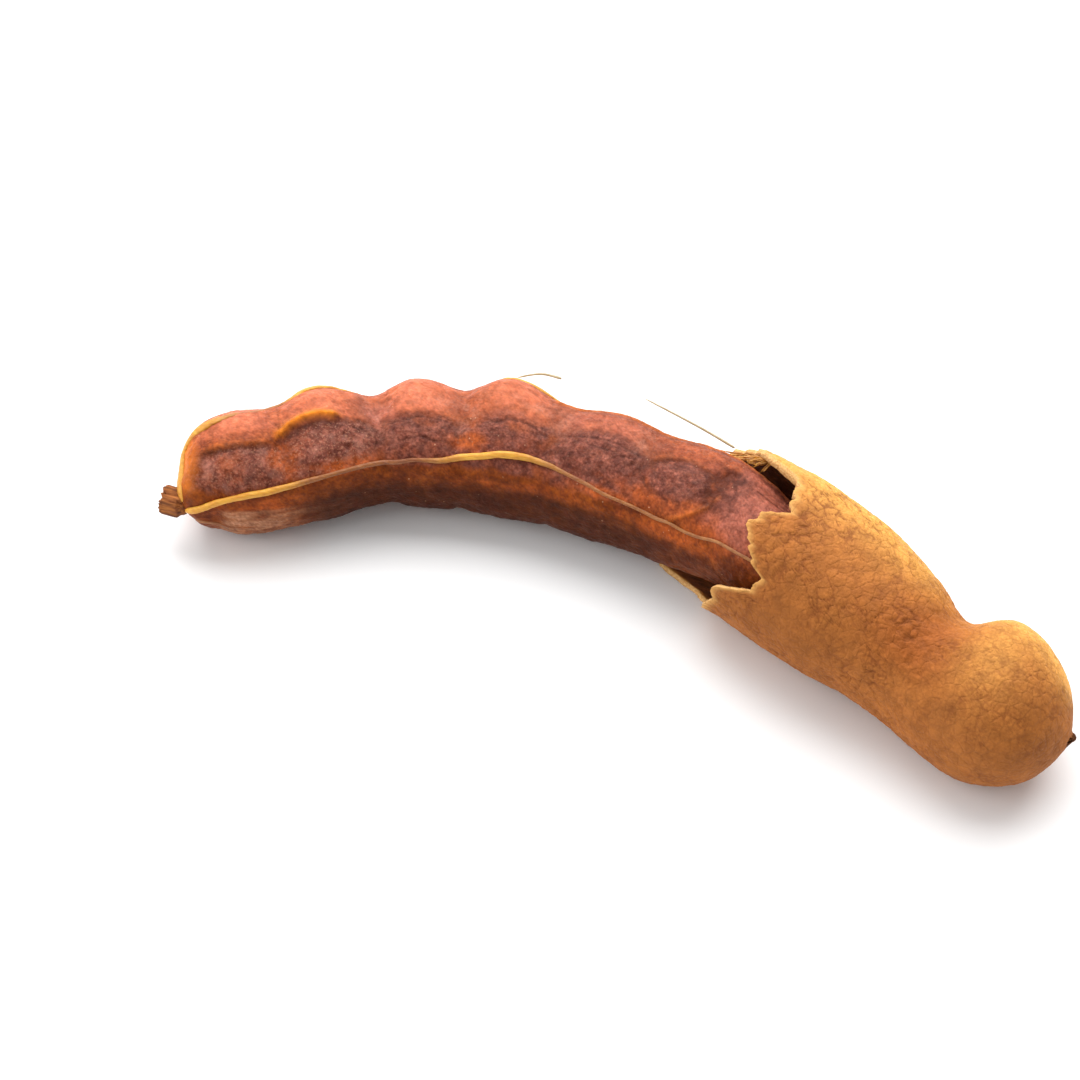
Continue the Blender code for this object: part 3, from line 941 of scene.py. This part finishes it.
rim_angles = np.arange(RIM_COLUMNS) * 360 / RIM_COLUMNS
rim_s = np.empty(RIM_COLUMNS)
for column, angle in enumerate(rim_angles):
    looks = np.arange(*RIM_LOOK, RIM_STEP)
    seen = cast(cad_shell, looks, np.full(len(looks), angle), from_outside=True)
    rim_s[column] = looks[np.flatnonzero(~np.isnan(seen))[0]]
solid_s = strongest(np.roll(rim_s, shift) for shift in range(-4, 5)) + SURE_GAP
turn = np.radians(rim_angles)
ring = np.stack([np.cos(turn), np.sin(turn), 0 * turn], 1) * RIM_RADIUS
teeth = TOOTH * mottle(ring, 1.6, 2) + NICK * mottle(ring + 40, 0.55, 2)
torn_s = rim_s + teeth + CHIP * (np.abs(mottle(ring + 80, 2.2, 3)) - 0.3)
print("the rim runs from s =", round(float(torn_s.min()), 1), "to", round(float(torn_s.max()), 1))

# %% Outer and inner cups
SHELL_RINGS = 250
LINING_RINGS = 70
SHELL_RADIUS = 11.0
TIP_CAP = 10.0
TIP_WALL = 2.4
PATTERN_START = 60.0

shell_end = end_of(cad_shell, 150.0, 130.0)
lining_end = shell_end - TIP_WALL


def shell_width(s):
    """The shell's half width, closing roundly at the tip."""
    return SHELL_RADIUS * closing(shell_end - s, TIP_CAP)


def at_rim(values, angle):
    """The values kept for each column of the rim, at these angles."""
    return values[np.round(angle / 360 * RIM_COLUMNS).astype(int) % RIM_COLUMNS]


def solid_from(angle):
    """The first s where every ray near this angle is sure to meet the frame's shell."""
    return at_rim(solid_s, angle)


def cup(bm, rings, end, pattern):
    """A roll from the torn rim to the tip, laid on a pattern of the shell."""
    made, share, angle = roll(bm, RIM_COLUMNS, rings, open_start=True)
    even = rings_along(shell_width, 0.0, end)
    shares = np.linspace(0, 1, 2 * RUN_SAMPLES)
    start = np.interp(at_rim(torn_s, angle), even(shares), shares)
    s = even(start + share * (1 - start))
    spots = spots_at(s, angle, np.nan_to_num(cast(pattern, s, angle)))
    move_to(made, spots)
    return made, s, angle, spots


outside = smooth_pattern(cad_shell, shell_width, PATTERN_START, shell_end, True, solid_from)
inside = smooth_pattern(cad_shell, shell_width, PATTERN_START, lining_end, False, solid_from)
shell_bm = bmesh.new()
skin, skin_s, skin_angle, skin_places = cup(shell_bm, SHELL_RINGS, shell_end, outside)
skin_out = outward_of(shell_bm, skin)
lining, lining_s, lining_angle, lining_places = cup(shell_bm, LINING_RINGS, lining_end, inside)
print("shell ends at s =", round(shell_end, 1), "with", len(skin), "vertices out and", len(lining), "in")

# %% Crackle, dents and waist wrinkles
# (s, angle, height in mm, half length, half spread in degrees)
SHELL_SWELLS = [(92, 50, 0.6, 14, 44), (117.4, 45, -1.7, 3.8, 52), (126.0, 40, 1.35, 4.6, 56),
                (133.0, 30, -0.1, 4.0, 40), (121.5, 218, 1.1, 7.0, 40)]
CELL = 2.3
FINE_CELL = 0.95
WAIST = 116.5
WAIST_LENGTH = 6.5
BULB_STARTS = (119, 124)

warp = np.stack([mottle(skin_places + shift, 2.4, 2) for shift in (0, 20, 40)], 1)
net = cells(skin_places + 0.9 * warp, CELL)
fine_net = cells(skin_places + 0.35 * warp + 200, FINE_CELL)
strength = 0.5 + 0.35 * patch(skin_s, skin_angle, 100, 110, 11, 50) + 0.8 * mottle(skin_places + 300, 7.0, 2)
crack = (1 - step(0.01, 0.13, net)) * np.clip(strength, 0.05, 1)
fine_crack = (1 - step(0.02, 0.22, fine_net)) * np.clip(0.3 + 0.9 * mottle(skin_places + 330, 3.0, 2), 0, 1)
waist = hump(skin_s - WAIST, WAIST_LENGTH)
dents = mottle(skin_places + 400, 11.0, 2)
ripple = 1 - np.abs(mottle(skin_places + 500, 2.2, 3))
pebble = mottle(skin_places + 600, 0.6, 2)
dome = step(0.0, 0.5, net)
from_tip = np.linalg.norm(skin_places - skin_places[np.argmax(skin_s)], axis=1)
bulb = step(*BULB_STARTS, skin_s)
crack = crack * (1 - 0.5 * bulb)
relief = (swellings(skin_s, skin_angle, SHELL_SWELLS) + 0.7 * hump(from_tip, 0.6) + 0.22 * dents
          + (0.05 - 0.03 * bulb) * dome - (0.11 - 0.03 * bulb) * crack - 0.03 * fine_crack + 0.02 * pebble
          + (0.05 + 0.16 * waist) * (ripple - 0.75))
skin_places = skin_places + relief[:, None] * skin_out
skin_places[:, 2] = np.maximum(skin_places[:, 2], 0)
move_to(skin, skin_places)
print("relief from", round(float(relief.min()), 2), "to", round(float(relief.max()), 2), "mm")

# %% Join the cups by the broken face of the wall
LINING_FLOOR = 0.5
LINING_FINISH = 1
BROKEN_FINISH = 2

sunk = np.minimum(swellings(lining_s, lining_angle, SHELL_SWELLS), 0)
strings = 1 - np.abs(mottle(lining_places, 1.2, 3, stretch=(4, 1, 1)))
lining_places = lining_places + (1.2 * sunk - 0.10 * (strings - 0.7))[:, None] * outward_of(shell_bm, lining)
lining_places[:, 2] = np.maximum(lining_places[:, 2], LINING_FLOOR)
move_to(lining, lining_places)
inner_faces = {face for vertex in lining for face in vertex.link_faces}
bmesh.ops.reverse_faces(shell_bm, faces=list(inner_faces))
for face in inner_faces:
    face.material_index = LINING_FINISH
strip = bmesh.ops.bridge_loops(shell_bm, edges=[edge for edge in shell_bm.edges if edge.is_boundary])
for face in strip["faces"]:
    face.material_index = BROKEN_FINISH
print("the wall's broken face has", len(strip["faces"]), "faces")

# %% Where each colour of the shell lies
shell_bm.verts.index_update()
skin_index = [vertex.index for vertex in skin]
lining_index = [vertex.index for vertex in lining]


def over_shell(outer, inner=0.0):
    """Values for all of the shell's vertices, from those of its outside and its lining."""
    values = np.zeros(len(shell_bm.verts))
    values[skin_index] = outer
    values[lining_index] = inner
    return values


# painted highlight along the top of the shell and on the top of the bulb
bulb_light = 0.55 * patch(skin_s, skin_angle, 125.5, 84, 5, 48)
crown_edge_highlight = np.maximum(hump(turn_between(skin_angle, 40), 33), bulb_light) * step(3, 7, from_tip)
# painted shade on the lower side of the shell
low_side_shade = hump(turn_between(skin_angle, 160), 52) * (1 - 0.9 * hump(skin_s - 118, 6)) * step(2, 7, from_tip)
shell_masks = {
    "crack": over_shell(np.clip(crack + 0.65 * fine_crack, 0, 1)),
    "waist": over_shell(waist * (1 - 0.9 * step(120, 160, skin_angle))),
    "crown_highlight": over_shell(crown_edge_highlight),
    "low_side_shade": over_shell(low_side_shade),
    "rim": over_shell(hump(skin_s - at_rim(torn_s, skin_angle), 0.8), 1.0),
    "beak": over_shell(hump(from_tip, 0.7)),
    # how far inside the rim each point of the lining is, which sets its painted shade
    "depth": over_shell(0.0, step(0.2, 1.6, lining_s - at_rim(torn_s, lining_angle))),
}
print("masks:", ", ".join(shell_masks))

# %% Outside finish
shell_finish, tree, shader = new_finish("shell_finish", 0.16)
patches = clouds(tree, 9.0, 3.0, 0.35, 0.65)
medium = clouds(tree, 1.6, 4.0, 0.3, 0.7, shift=0.2)
fine = clouds(tree, 0.4, 2.0, 0.3, 0.7, shift=0.5)
net = between(tree, scattered(tree, 1.5, "DISTANCE_TO_EDGE"), 0.0, 0.13, 1.0, 0.0)
colour = blend(tree, patches, srgb(172, 104, 47), srgb(196, 122, 57))
colour = blend(tree, times(tree, medium, 0.5), colour, srgb(164, 96, 38))
# painted highlight along the top of the shell
colour = painted(tree, colour, "crown_highlight", 0.95, (252, 184, 90))
# painted shade on the lower side
colour = painted(tree, colour, "low_side_shade", 0.7, (156, 92, 38))
# the waist: its own darker orange-brown among dense cracks, with painted shade in its hollow as well
colour = painted(tree, colour, "waist", 0.72, (154, 78, 26))
colour = blend(tree, times(tree, net, 0.14), colour, srgb(110, 60, 22))
colour = painted(tree, colour, "crack", 0.72, (122, 64, 26))
dapple = clouds(tree, 2.2, 3.0, 0.36, 0.64, 0.88, 1.12, shift=1.7)
colour = blend(tree, 1.0, colour, dapple, "MULTIPLY")
colour = blend(tree, times(tree, fine, 0.32), colour, srgb(124, 66, 22))
colour = painted(tree, colour, "rim", 0.6, (232, 176, 100))
colour = painted(tree, colour, "beak", 1.0, (124, 76, 46))
flat_net = between(tree, net, 0, 1, 1, 0)
complete(tree, shader, colour, 0.66, bump(tree, flat_net, 0.05, bump(tree, fine, 0.05)))
print("the shell's outside takes", len(tree.nodes), "nodes")

# %% Lining and broken wall
lining_finish, tree, shader = new_finish("lining_finish", 0.3)
threads = clouds(tree, 0.8, 3.0, 0.3, 0.7, stretch=(0.3, 1, 1))
light_end = blend(tree, threads, srgb(216, 150, 66), srgb(160, 96, 42))
# painted shade: the lining darkens deeper inside the cup
shaded_end = blend(tree, threads, srgb(150, 84, 42), srgb(104, 54, 26))
colour = blend(tree, mask_of(tree, "depth"), light_end, shaded_end)
complete(tree, shader, colour, 0.6, bump(tree, threads, 0.1))

broken_finish, tree, shader = new_finish("broken_wall_finish", 0.3)
crumbs = clouds(tree, 0.3, 3.0, 0.3, 0.7)
colour = blend(tree, crumbs, srgb(240, 194, 128), srgb(212, 152, 86))
complete(tree, shader, colour, 0.8, bump(tree, crumbs, 0.12))
shell_finishes = [shell_finish, lining_finish, broken_finish]
make_piece("shell_skin", shell_bm, shell_masks, shell_finishes, "shell")

# %% [markdown]
# ## Fibres
#
# Stringy fibres run from the stalk to the tip between shell and pulp. Each one is a narrow, slightly
# flattened strand that sinks into the sticky pulp in places and stands proud in others. A bevelled curve
# would give an even pipe. A thin roll can have a thickness that changes along it, lumps, and a flat side,
# so the strands look grown. Their routes are read from the frame by walking along each fibre there.

# %% Walk along a fibre of the frame
FIBRE_REACH = 1.1
HAIR_REACH = 0.6


def walk(node, reach):
    """Points along the middle of a thin node, from its end nearest the stem to the other, in millimetres."""
    left = np.unique([tuple(vertex.co / MM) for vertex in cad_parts[node].data.vertices], axis=0)
    here = left[np.argmax(left[:, 0])]
    middles = []
    while len(left):
        nearest = left[np.argmin(np.linalg.norm(left - here, axis=1))]
        together = np.linalg.norm(left - nearest, axis=1) < reach
        here = left[together].mean(0)
        middles.append(here)
        left = left[~together]
    return np.array(middles)[::-1]


def resampled(rows, count):
    """The same route with this many points, evenly spaced."""
    return at_stops(rows, np.linspace(0, run_along(rows)[-1], count))


def averaged(rows, rounds):
    """Rows of points, each moved towards the middle of its neighbours."""
    rows = rows.copy()
    for _ in range(rounds):
        rows[1:-1] = 0.5 * rows[1:-1] + 0.25 * (rows[:-2] + rows[2:])
    return rows


routes = {node: walk(node, FIBRE_REACH) for node in ("outer_fibre", "upper_inner_fibre", "lower_inner_fibre")}
for node, route in routes.items():
    print(node, "runs", round(float(run_along(route)[-1]), 1), "mm through", len(route), "points")

# %% Draw a strand along a route
pulp_tree = tree_of(pulp)


def on_skin(point, lift):
    """The point of the pulp's skin nearest to this one, raised by lift, and the skin's outward direction."""
    spot, normal, _, _ = pulp_tree.find_nearest(Vector(point))
    return np.array(spot + lift * normal), np.array(normal)


def strand(bm, middles, ups, widths, heights, sides, lumps, seed=0.0):
    """A closed strand through these points, from its half widths and its half heights along ups."""
    rings = len(middles) - 1
    vertices, share, angle = roll(bm, sides, rings)
    ring = np.round(share * rings).astype(int)
    along = unit(np.gradient(middles, axis=0))
    across = unit(np.cross(along, ups))
    up = np.cross(across, along)
    turn = np.radians(angle)
    swirl = 3 * np.stack([np.cos(turn), np.sin(turn), np.full(len(turn), seed)], 1)
    knobbly = (1 + lumps * mottle(middles[ring] + swirl, 1.6, 3)) * ((share > 0) & (share < 1))
    wide = (knobbly * widths[ring] * np.cos(turn))[:, None] * across[ring]
    high = (knobbly * heights[ring] * np.sin(turn))[:, None] * up[ring]
    move_to(vertices, middles[ring] + wide + high)
    return ring / rings


def strand_piece(name, bm, masks, finish, node):
    """Turns a finished strand, or several, into a piece."""
    bmesh.ops.recalc_face_normals(bm, faces=bm.faces)
    make_piece(name, bm, masks, [finish], node)


print("strand helpers are ready")

# %% Fibre and hair finishes
fibre_finish, tree, shader = new_finish("fibre_finish", 0.45)
grooves = clouds(tree, 0.5, 3.0, 0.3, 0.7, stretch=(0.35, 1, 1))
golden = blend(tree, grooves, srgb(226, 168, 56), srgb(202, 132, 36))
tanned = blend(tree, grooves, srgb(150, 84, 46), srgb(112, 56, 30))
colour = blend(tree, mask_of(tree, "gold"), tanned, golden)
complete(tree, shader, colour, 0.45, bump(tree, grooves, 0.08))
moisten(shader, 0.1, (0.001, 0.0005, 0.0002))

hair_finish, tree, shader = new_finish("hair_finish", 0.4)
along_hair = clouds(tree, 2.0, 2.0, 0.3, 0.7)
complete(tree, shader, blend(tree, along_hair, srgb(206, 194, 160), srgb(170, 150, 110)), 0.5)
print("fibre and hair finishes are ready")

# %% How the three long fibres look
FIBRES = {
    "outer_fibre": dict(half_width=0.7, half_height=0.34, lift=0.0, rise=0.0, smoothing=4),
    "upper_inner_fibre": dict(half_width=0.46, half_height=0.42, lift=0.16, rise=2.6, smoothing=24),
    "lower_inner_fibre": dict(half_width=0.50, half_height=0.36, lift=-0.15, rise=0.0, smoothing=8),
}
# (s, how golden) along each fibre
GOLD = {
    "outer_fibre": [(0, 0.9), (4, 0.8), (9, 0.2), (15, 0.3), (18, 1), (24, 1), (27, 0.2), (44, 0.3), (46, 1),
                    (51, 1), (54, 0.3), (66, 0.6), (90, 0.7)],
    "upper_inner_fibre": [(0, 1), (11, 1), (14.5, 0.7), (17.5, 0.15), (34, 0.05), (38, 0.4), (42, 1), (50, 1),
                          (54, 0.5), (59, 0.15), (90, 0.2)],
    "lower_inner_fibre": [(0, 0.2), (4, 0.1), (6, 0.0)],
}
# (s, thickness as a share) along each fibre
BODY = {
    "outer_fibre": [(0, 1.3), (4, 1.2), (9, 0.5), (15, 0.6), (19, 1.35), (23, 1.25), (28, 0.5), (43, 0.5),
                    (46.5, 1.3), (49, 1.3), (54, 0.5), (64, 0.6)],
    "upper_inner_fibre": [(0, 1.3), (6, 1.0), (14, 1.05), (19, 0.75), (36, 0.7), (43, 1.15), (52, 1.05),
                          (57, 0.6), (90, 0.5)],
    "lower_inner_fibre": [(0, 1.0), (4, 0.9), (6, 0.45), (90, 0.4)],
}
print("fibres:", ", ".join(FIBRES))

# %% Lay the three long fibres
FIBRE_RINGS = 400
FIBRE_SIDES = 18
END_ROUNDING = 4
RISE_STARTS = (77, 91)

for node, look in FIBRES.items():
    route = resampled(averaged(routes[node], 2), FIBRE_RINGS)
    route_s = np.array([s_of(spot) for spot in route])
    wander = 0.25 * mottle(route, 5.0, 2) + look["rise"] * step(*RISE_STARTS, route_s)
    skin_points = [on_skin(point + (0, 0, shift), 0.0) for point, shift in zip(route, wander)]
    ups = averaged(np.array([normal for _, normal in skin_points]), 8)
    base = averaged(np.array([spot for spot, _ in skin_points]), look["smoothing"])
    stops = np.array([s_of(spot) for spot in base])
    body = np.interp(stops, *zip(*BODY[node])) * (1 + 0.10 * mottle(base + 90, 3.0, 2))
    number = np.arange(len(base))
    thick = body * np.sqrt(np.clip(np.minimum(number, number[::-1]) / END_ROUNDING, 0, 1))
    lift = look["lift"] * body + 0.06 * mottle(base + 150, 6.0, 1) - 0.25 * (1 - np.minimum(body, 1))
    bm = bmesh.new()
    wide = look["half_width"] * thick
    high = look["half_height"] * thick
    share = strand(bm, base + lift[:, None] * ups, ups, wide, high, FIBRE_SIDES, lumps=0.05)
    gold = np.interp(share * number[-1], number, np.interp(stops, *zip(*GOLD[node])))
    strand_piece(node + "_strand", bm, {"gold": gold}, fibre_finish, node)

# %% Hairs
HAIR_RINGS = 60
HAIR_SIDES = 8
# half thicknesses at these shares of the way from the hair's end nearest the stem
HAIR_TAPER = [(0, 0.07), (0.1, 0.13), (0.9, 0.20), (1, 0.16)]

for node in ("long_hair", "short_hair"):
    route = resampled(averaged(walk(node, HAIR_REACH), 2), HAIR_RINGS)
    thin = np.interp(np.linspace(0, 1, HAIR_RINGS), *zip(*HAIR_TAPER))
    bm = bmesh.new()
    strand(bm, route, UP, thin, thin, HAIR_SIDES, lumps=0.05)
    strand_piece(node + "_strand", bm, {}, hair_finish, node)

# %% [markdown]
# ## Frayed strings at the rim
#
# Where the shell broke on the outer side of the bend, its golden lining has torn into short strings
# that still hang on the rim and point back towards the stem. Each is a thin strand that starts just
# inside the rim and sags on to the pulp. All of them are one piece, because they are one torn lining.

# %% Frayed strings
STRING_COUNT = 60
STRING_RINGS = 15
STRING_ANGLES = (2, 40)
STRING_REACH = (0.8, 3.6)
# (angle, share of its reach that a string has there)
STRING_SHORTENING = [(0, 1.2), (24, 1.0), (40, 0.45)]
# (share of the way along a string, its thickness as a share)
STRING_TAPER = [(0, 1), (0.7, 0.8), (1, 0.3)]

pick = np.random.default_rng(7)
bm = bmesh.new()
for number in range(STRING_COUNT):
    angle = pick.uniform(*STRING_ANGLES)
    start = torn_s[int(angle / 360 * RIM_COLUMNS)] + pick.uniform(0.5, 2.0)
    reach = pick.uniform(*STRING_REACH) * np.interp(angle, *zip(*STRING_SHORTENING))
    drift = pick.uniform(-8, 12)
    t = np.linspace(0, 1, STRING_RINGS)
    wall = np.nan_to_num(cast(inside, np.full(1, start), np.full(1, angle)))[0]
    radius = wall - 0.25 - pick.uniform(0.0, 1.1) * t ** 1.4
    spots = spots_at(start - reach * t, angle + drift * t ** 1.5, radius)
    rest = np.array([on_skin(spot, 0.15)[0] for spot in spots])
    spots = spots + (pick.uniform(0.3, 1.0) * step(0.2, 1.0, t))[:, None] * (rest - spots)
    thick = pick.uniform(0.05, 0.13) * np.interp(t, *zip(*STRING_TAPER))
    strand(bm, spots, UP, thick * 1.6, thick, HAIR_SIDES, lumps=0.15, seed=number)
strand_piece("rim_strings", bm, {"gold": np.full(len(bm.verts), 0.6)}, fibre_finish, None)

# %% [markdown]
# ## The stub of the stalk
#
# A few millimetres of the woody stalk stay on when a pod is picked. It is grooved along its length and
# its outer end is broken, not cut. A short, thick roll gives it a closed end that noise can roughen.

# %% Stub
STUB_SIDES = 96
STUB_RINGS = 61
# half widths at these shares of the way from the pulp to the broken end
STUB_TAPER = [(0, 0.6), (0.1, 1.2), (0.35, 1.9), (0.8, 2.0), (0.95, 2.0), (1, 1.6)]
ROOT_SLICE = 1.2
BREAK_SLICE = 0.8
ROOT_SUNK = 0.15
ROOT_SHIFT = (0, 0.3, 0.3)
BREAK_SHIFT = (0.6, 0.3, 0.3)

stub_low, stub_high = (np.array(corner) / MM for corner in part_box("stem_stub"))
corners = np.array([vertex.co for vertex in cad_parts["stem_stub"].data.vertices]) / MM
root = corners[corners[:, 0] > stub_high[0] - ROOT_SLICE].mean(0)
broken_end = corners[corners[:, 0] < stub_low[0] + BREAK_SLICE].mean(0)
root = root + ROOT_SUNK * (root - broken_end) + ROOT_SHIFT
broken_end = broken_end + BREAK_SHIFT
reach = np.linalg.norm(broken_end - root)
axis = (broken_end - root) / reach
t = np.linspace(0, 1, STUB_RINGS)
width = np.interp(t, *zip(*STUB_TAPER))
bm = bmesh.new()
middles = root + (broken_end - root) * t[:, None]
strand(bm, middles, UP, width, width, STUB_SIDES, lumps=0.0)
out = outward_of(bm, bm.verts)
spots = np.array([vertex.co for vertex in bm.verts]) / MM
stub_grooves = mottle(np.cross(spots - root, axis), 0.7, 3)
far_end = step(0.82, 0.95, (spots - root) @ axis / reach)
splinters = far_end * np.abs(mottle(spots, 0.6, 3))
spots = spots + (0.28 * stub_grooves)[:, None] * out - (0.5 * splinters)[:, None] * axis
move_to(bm.verts, np.maximum(spots, stub_low - 0.5))
print("the stub is", round(float(reach), 1), "mm long")

# %% Stub finish
stub_finish, tree, shader = new_finish("stub_finish", 0.3)
wood = clouds(tree, 0.5, 4.0, 0.3, 0.7, stretch=(0.25, 1, 1))
colour = blend(tree, wood, srgb(182, 112, 52), srgb(118, 60, 26))
colour = painted(tree, colour, "groove", 0.7, (70, 32, 14))
complete(tree, shader, colour, 0.75, bump(tree, wood, 0.15))
groove_mask = {"groove": step(0.0, 0.5, -stub_grooves)}
strand_piece("stem_stub_wood", bm, groove_mask, stub_finish, "stem_stub")

# %% [markdown]
# ## Floor, light and camera
#
# The pod lies on a plain white floor under soft studio light: a bright world, one large lamp high behind
# it on the left, which brightens the tops and leaves the near sides darker, and a small weak one low on
# the left that fills them. The camera looks down at a steep angle from the inner side of the bend.

# %% Floor
FLOOR_HALF = 3.0

floor_finish, tree, shader = new_finish("floor_finish", 0.2)
complete(tree, shader, (0.93, 0.93, 0.93, 1), 0.9)
floor_bm = bmesh.new()
bmesh.ops.create_grid(floor_bm, x_segments=2, y_segments=2, size=FLOOR_HALF)
floor_mesh = bpy.data.meshes.new("floor")
floor_bm.to_mesh(floor_mesh)
floor_bm.free()
floor_mesh.materials.append(floor_finish)
floor = bpy.data.objects.new("floor", floor_mesh)
bpy.context.scene.collection.objects.link(floor)
print("floor is", 2 * FLOOR_HALF, "m across")

# %% Light
WORLD_LIGHT = 0.52
LAMPS = {
    "key_lamp": dict(place=(-0.12, 0.62, 0.78), size=1.3, watts=19.5),
    "fill_lamp": dict(place=(-0.70, -0.25, 0.45), size=0.8, watts=4.0),
}


def put_in_scene(name, thing, place, backwards):
    """Puts a lamp or a camera in the scene, with its back towards this direction."""
    holder = bpy.data.objects.new(name, thing)
    holder.location = place
    holder.rotation_mode = "QUATERNION"
    holder.rotation_quaternion = (-backwards).to_track_quat("-Z", "Y")
    bpy.context.scene.collection.objects.link(holder)
    return holder


world = bpy.data.worlds.new("studio")
world.use_nodes = True
background = world.node_tree.nodes["Background"].inputs
background["Color"].default_value = (1, 1, 1, 1)
background["Strength"].default_value = WORLD_LIGHT
bpy.context.scene.world = world
bpy.context.scene.view_settings.view_transform = "Standard"
for name, lamp in LAMPS.items():
    light = bpy.data.lights.new(name, "AREA")
    light.size = lamp["size"]
    light.energy = lamp["watts"]
    put_in_scene(name, light, lamp["place"], Vector(lamp["place"]))
print(len(LAMPS), "lamps and a world of strength", WORLD_LIGHT)

# %% Camera
AZIMUTH = math.radians(18.44)
ELEVATION = math.radians(52.0)
DISTANCE = 0.420
AIM_OFFSET = Vector((-12.0, -4.0, -0.75)) * MM
LENS = 100
SENSOR = 36
NEAR = 0.01
FAR = 20

camera = bpy.data.cameras.new("camera")
camera.lens = LENS
camera.sensor_width = SENSOR
camera.clip_start = NEAR
camera.clip_end = FAR
back = Vector((math.sin(AZIMUTH) * math.cos(ELEVATION), -math.cos(AZIMUTH) * math.cos(ELEVATION),
               math.sin(ELEVATION)))
place = (cad_low + cad_high) / 2 + AIM_OFFSET + DISTANCE * back
bpy.context.scene.camera = put_in_scene("camera", camera, place, back)
print("camera stands at", [round(value, 3) for value in place])
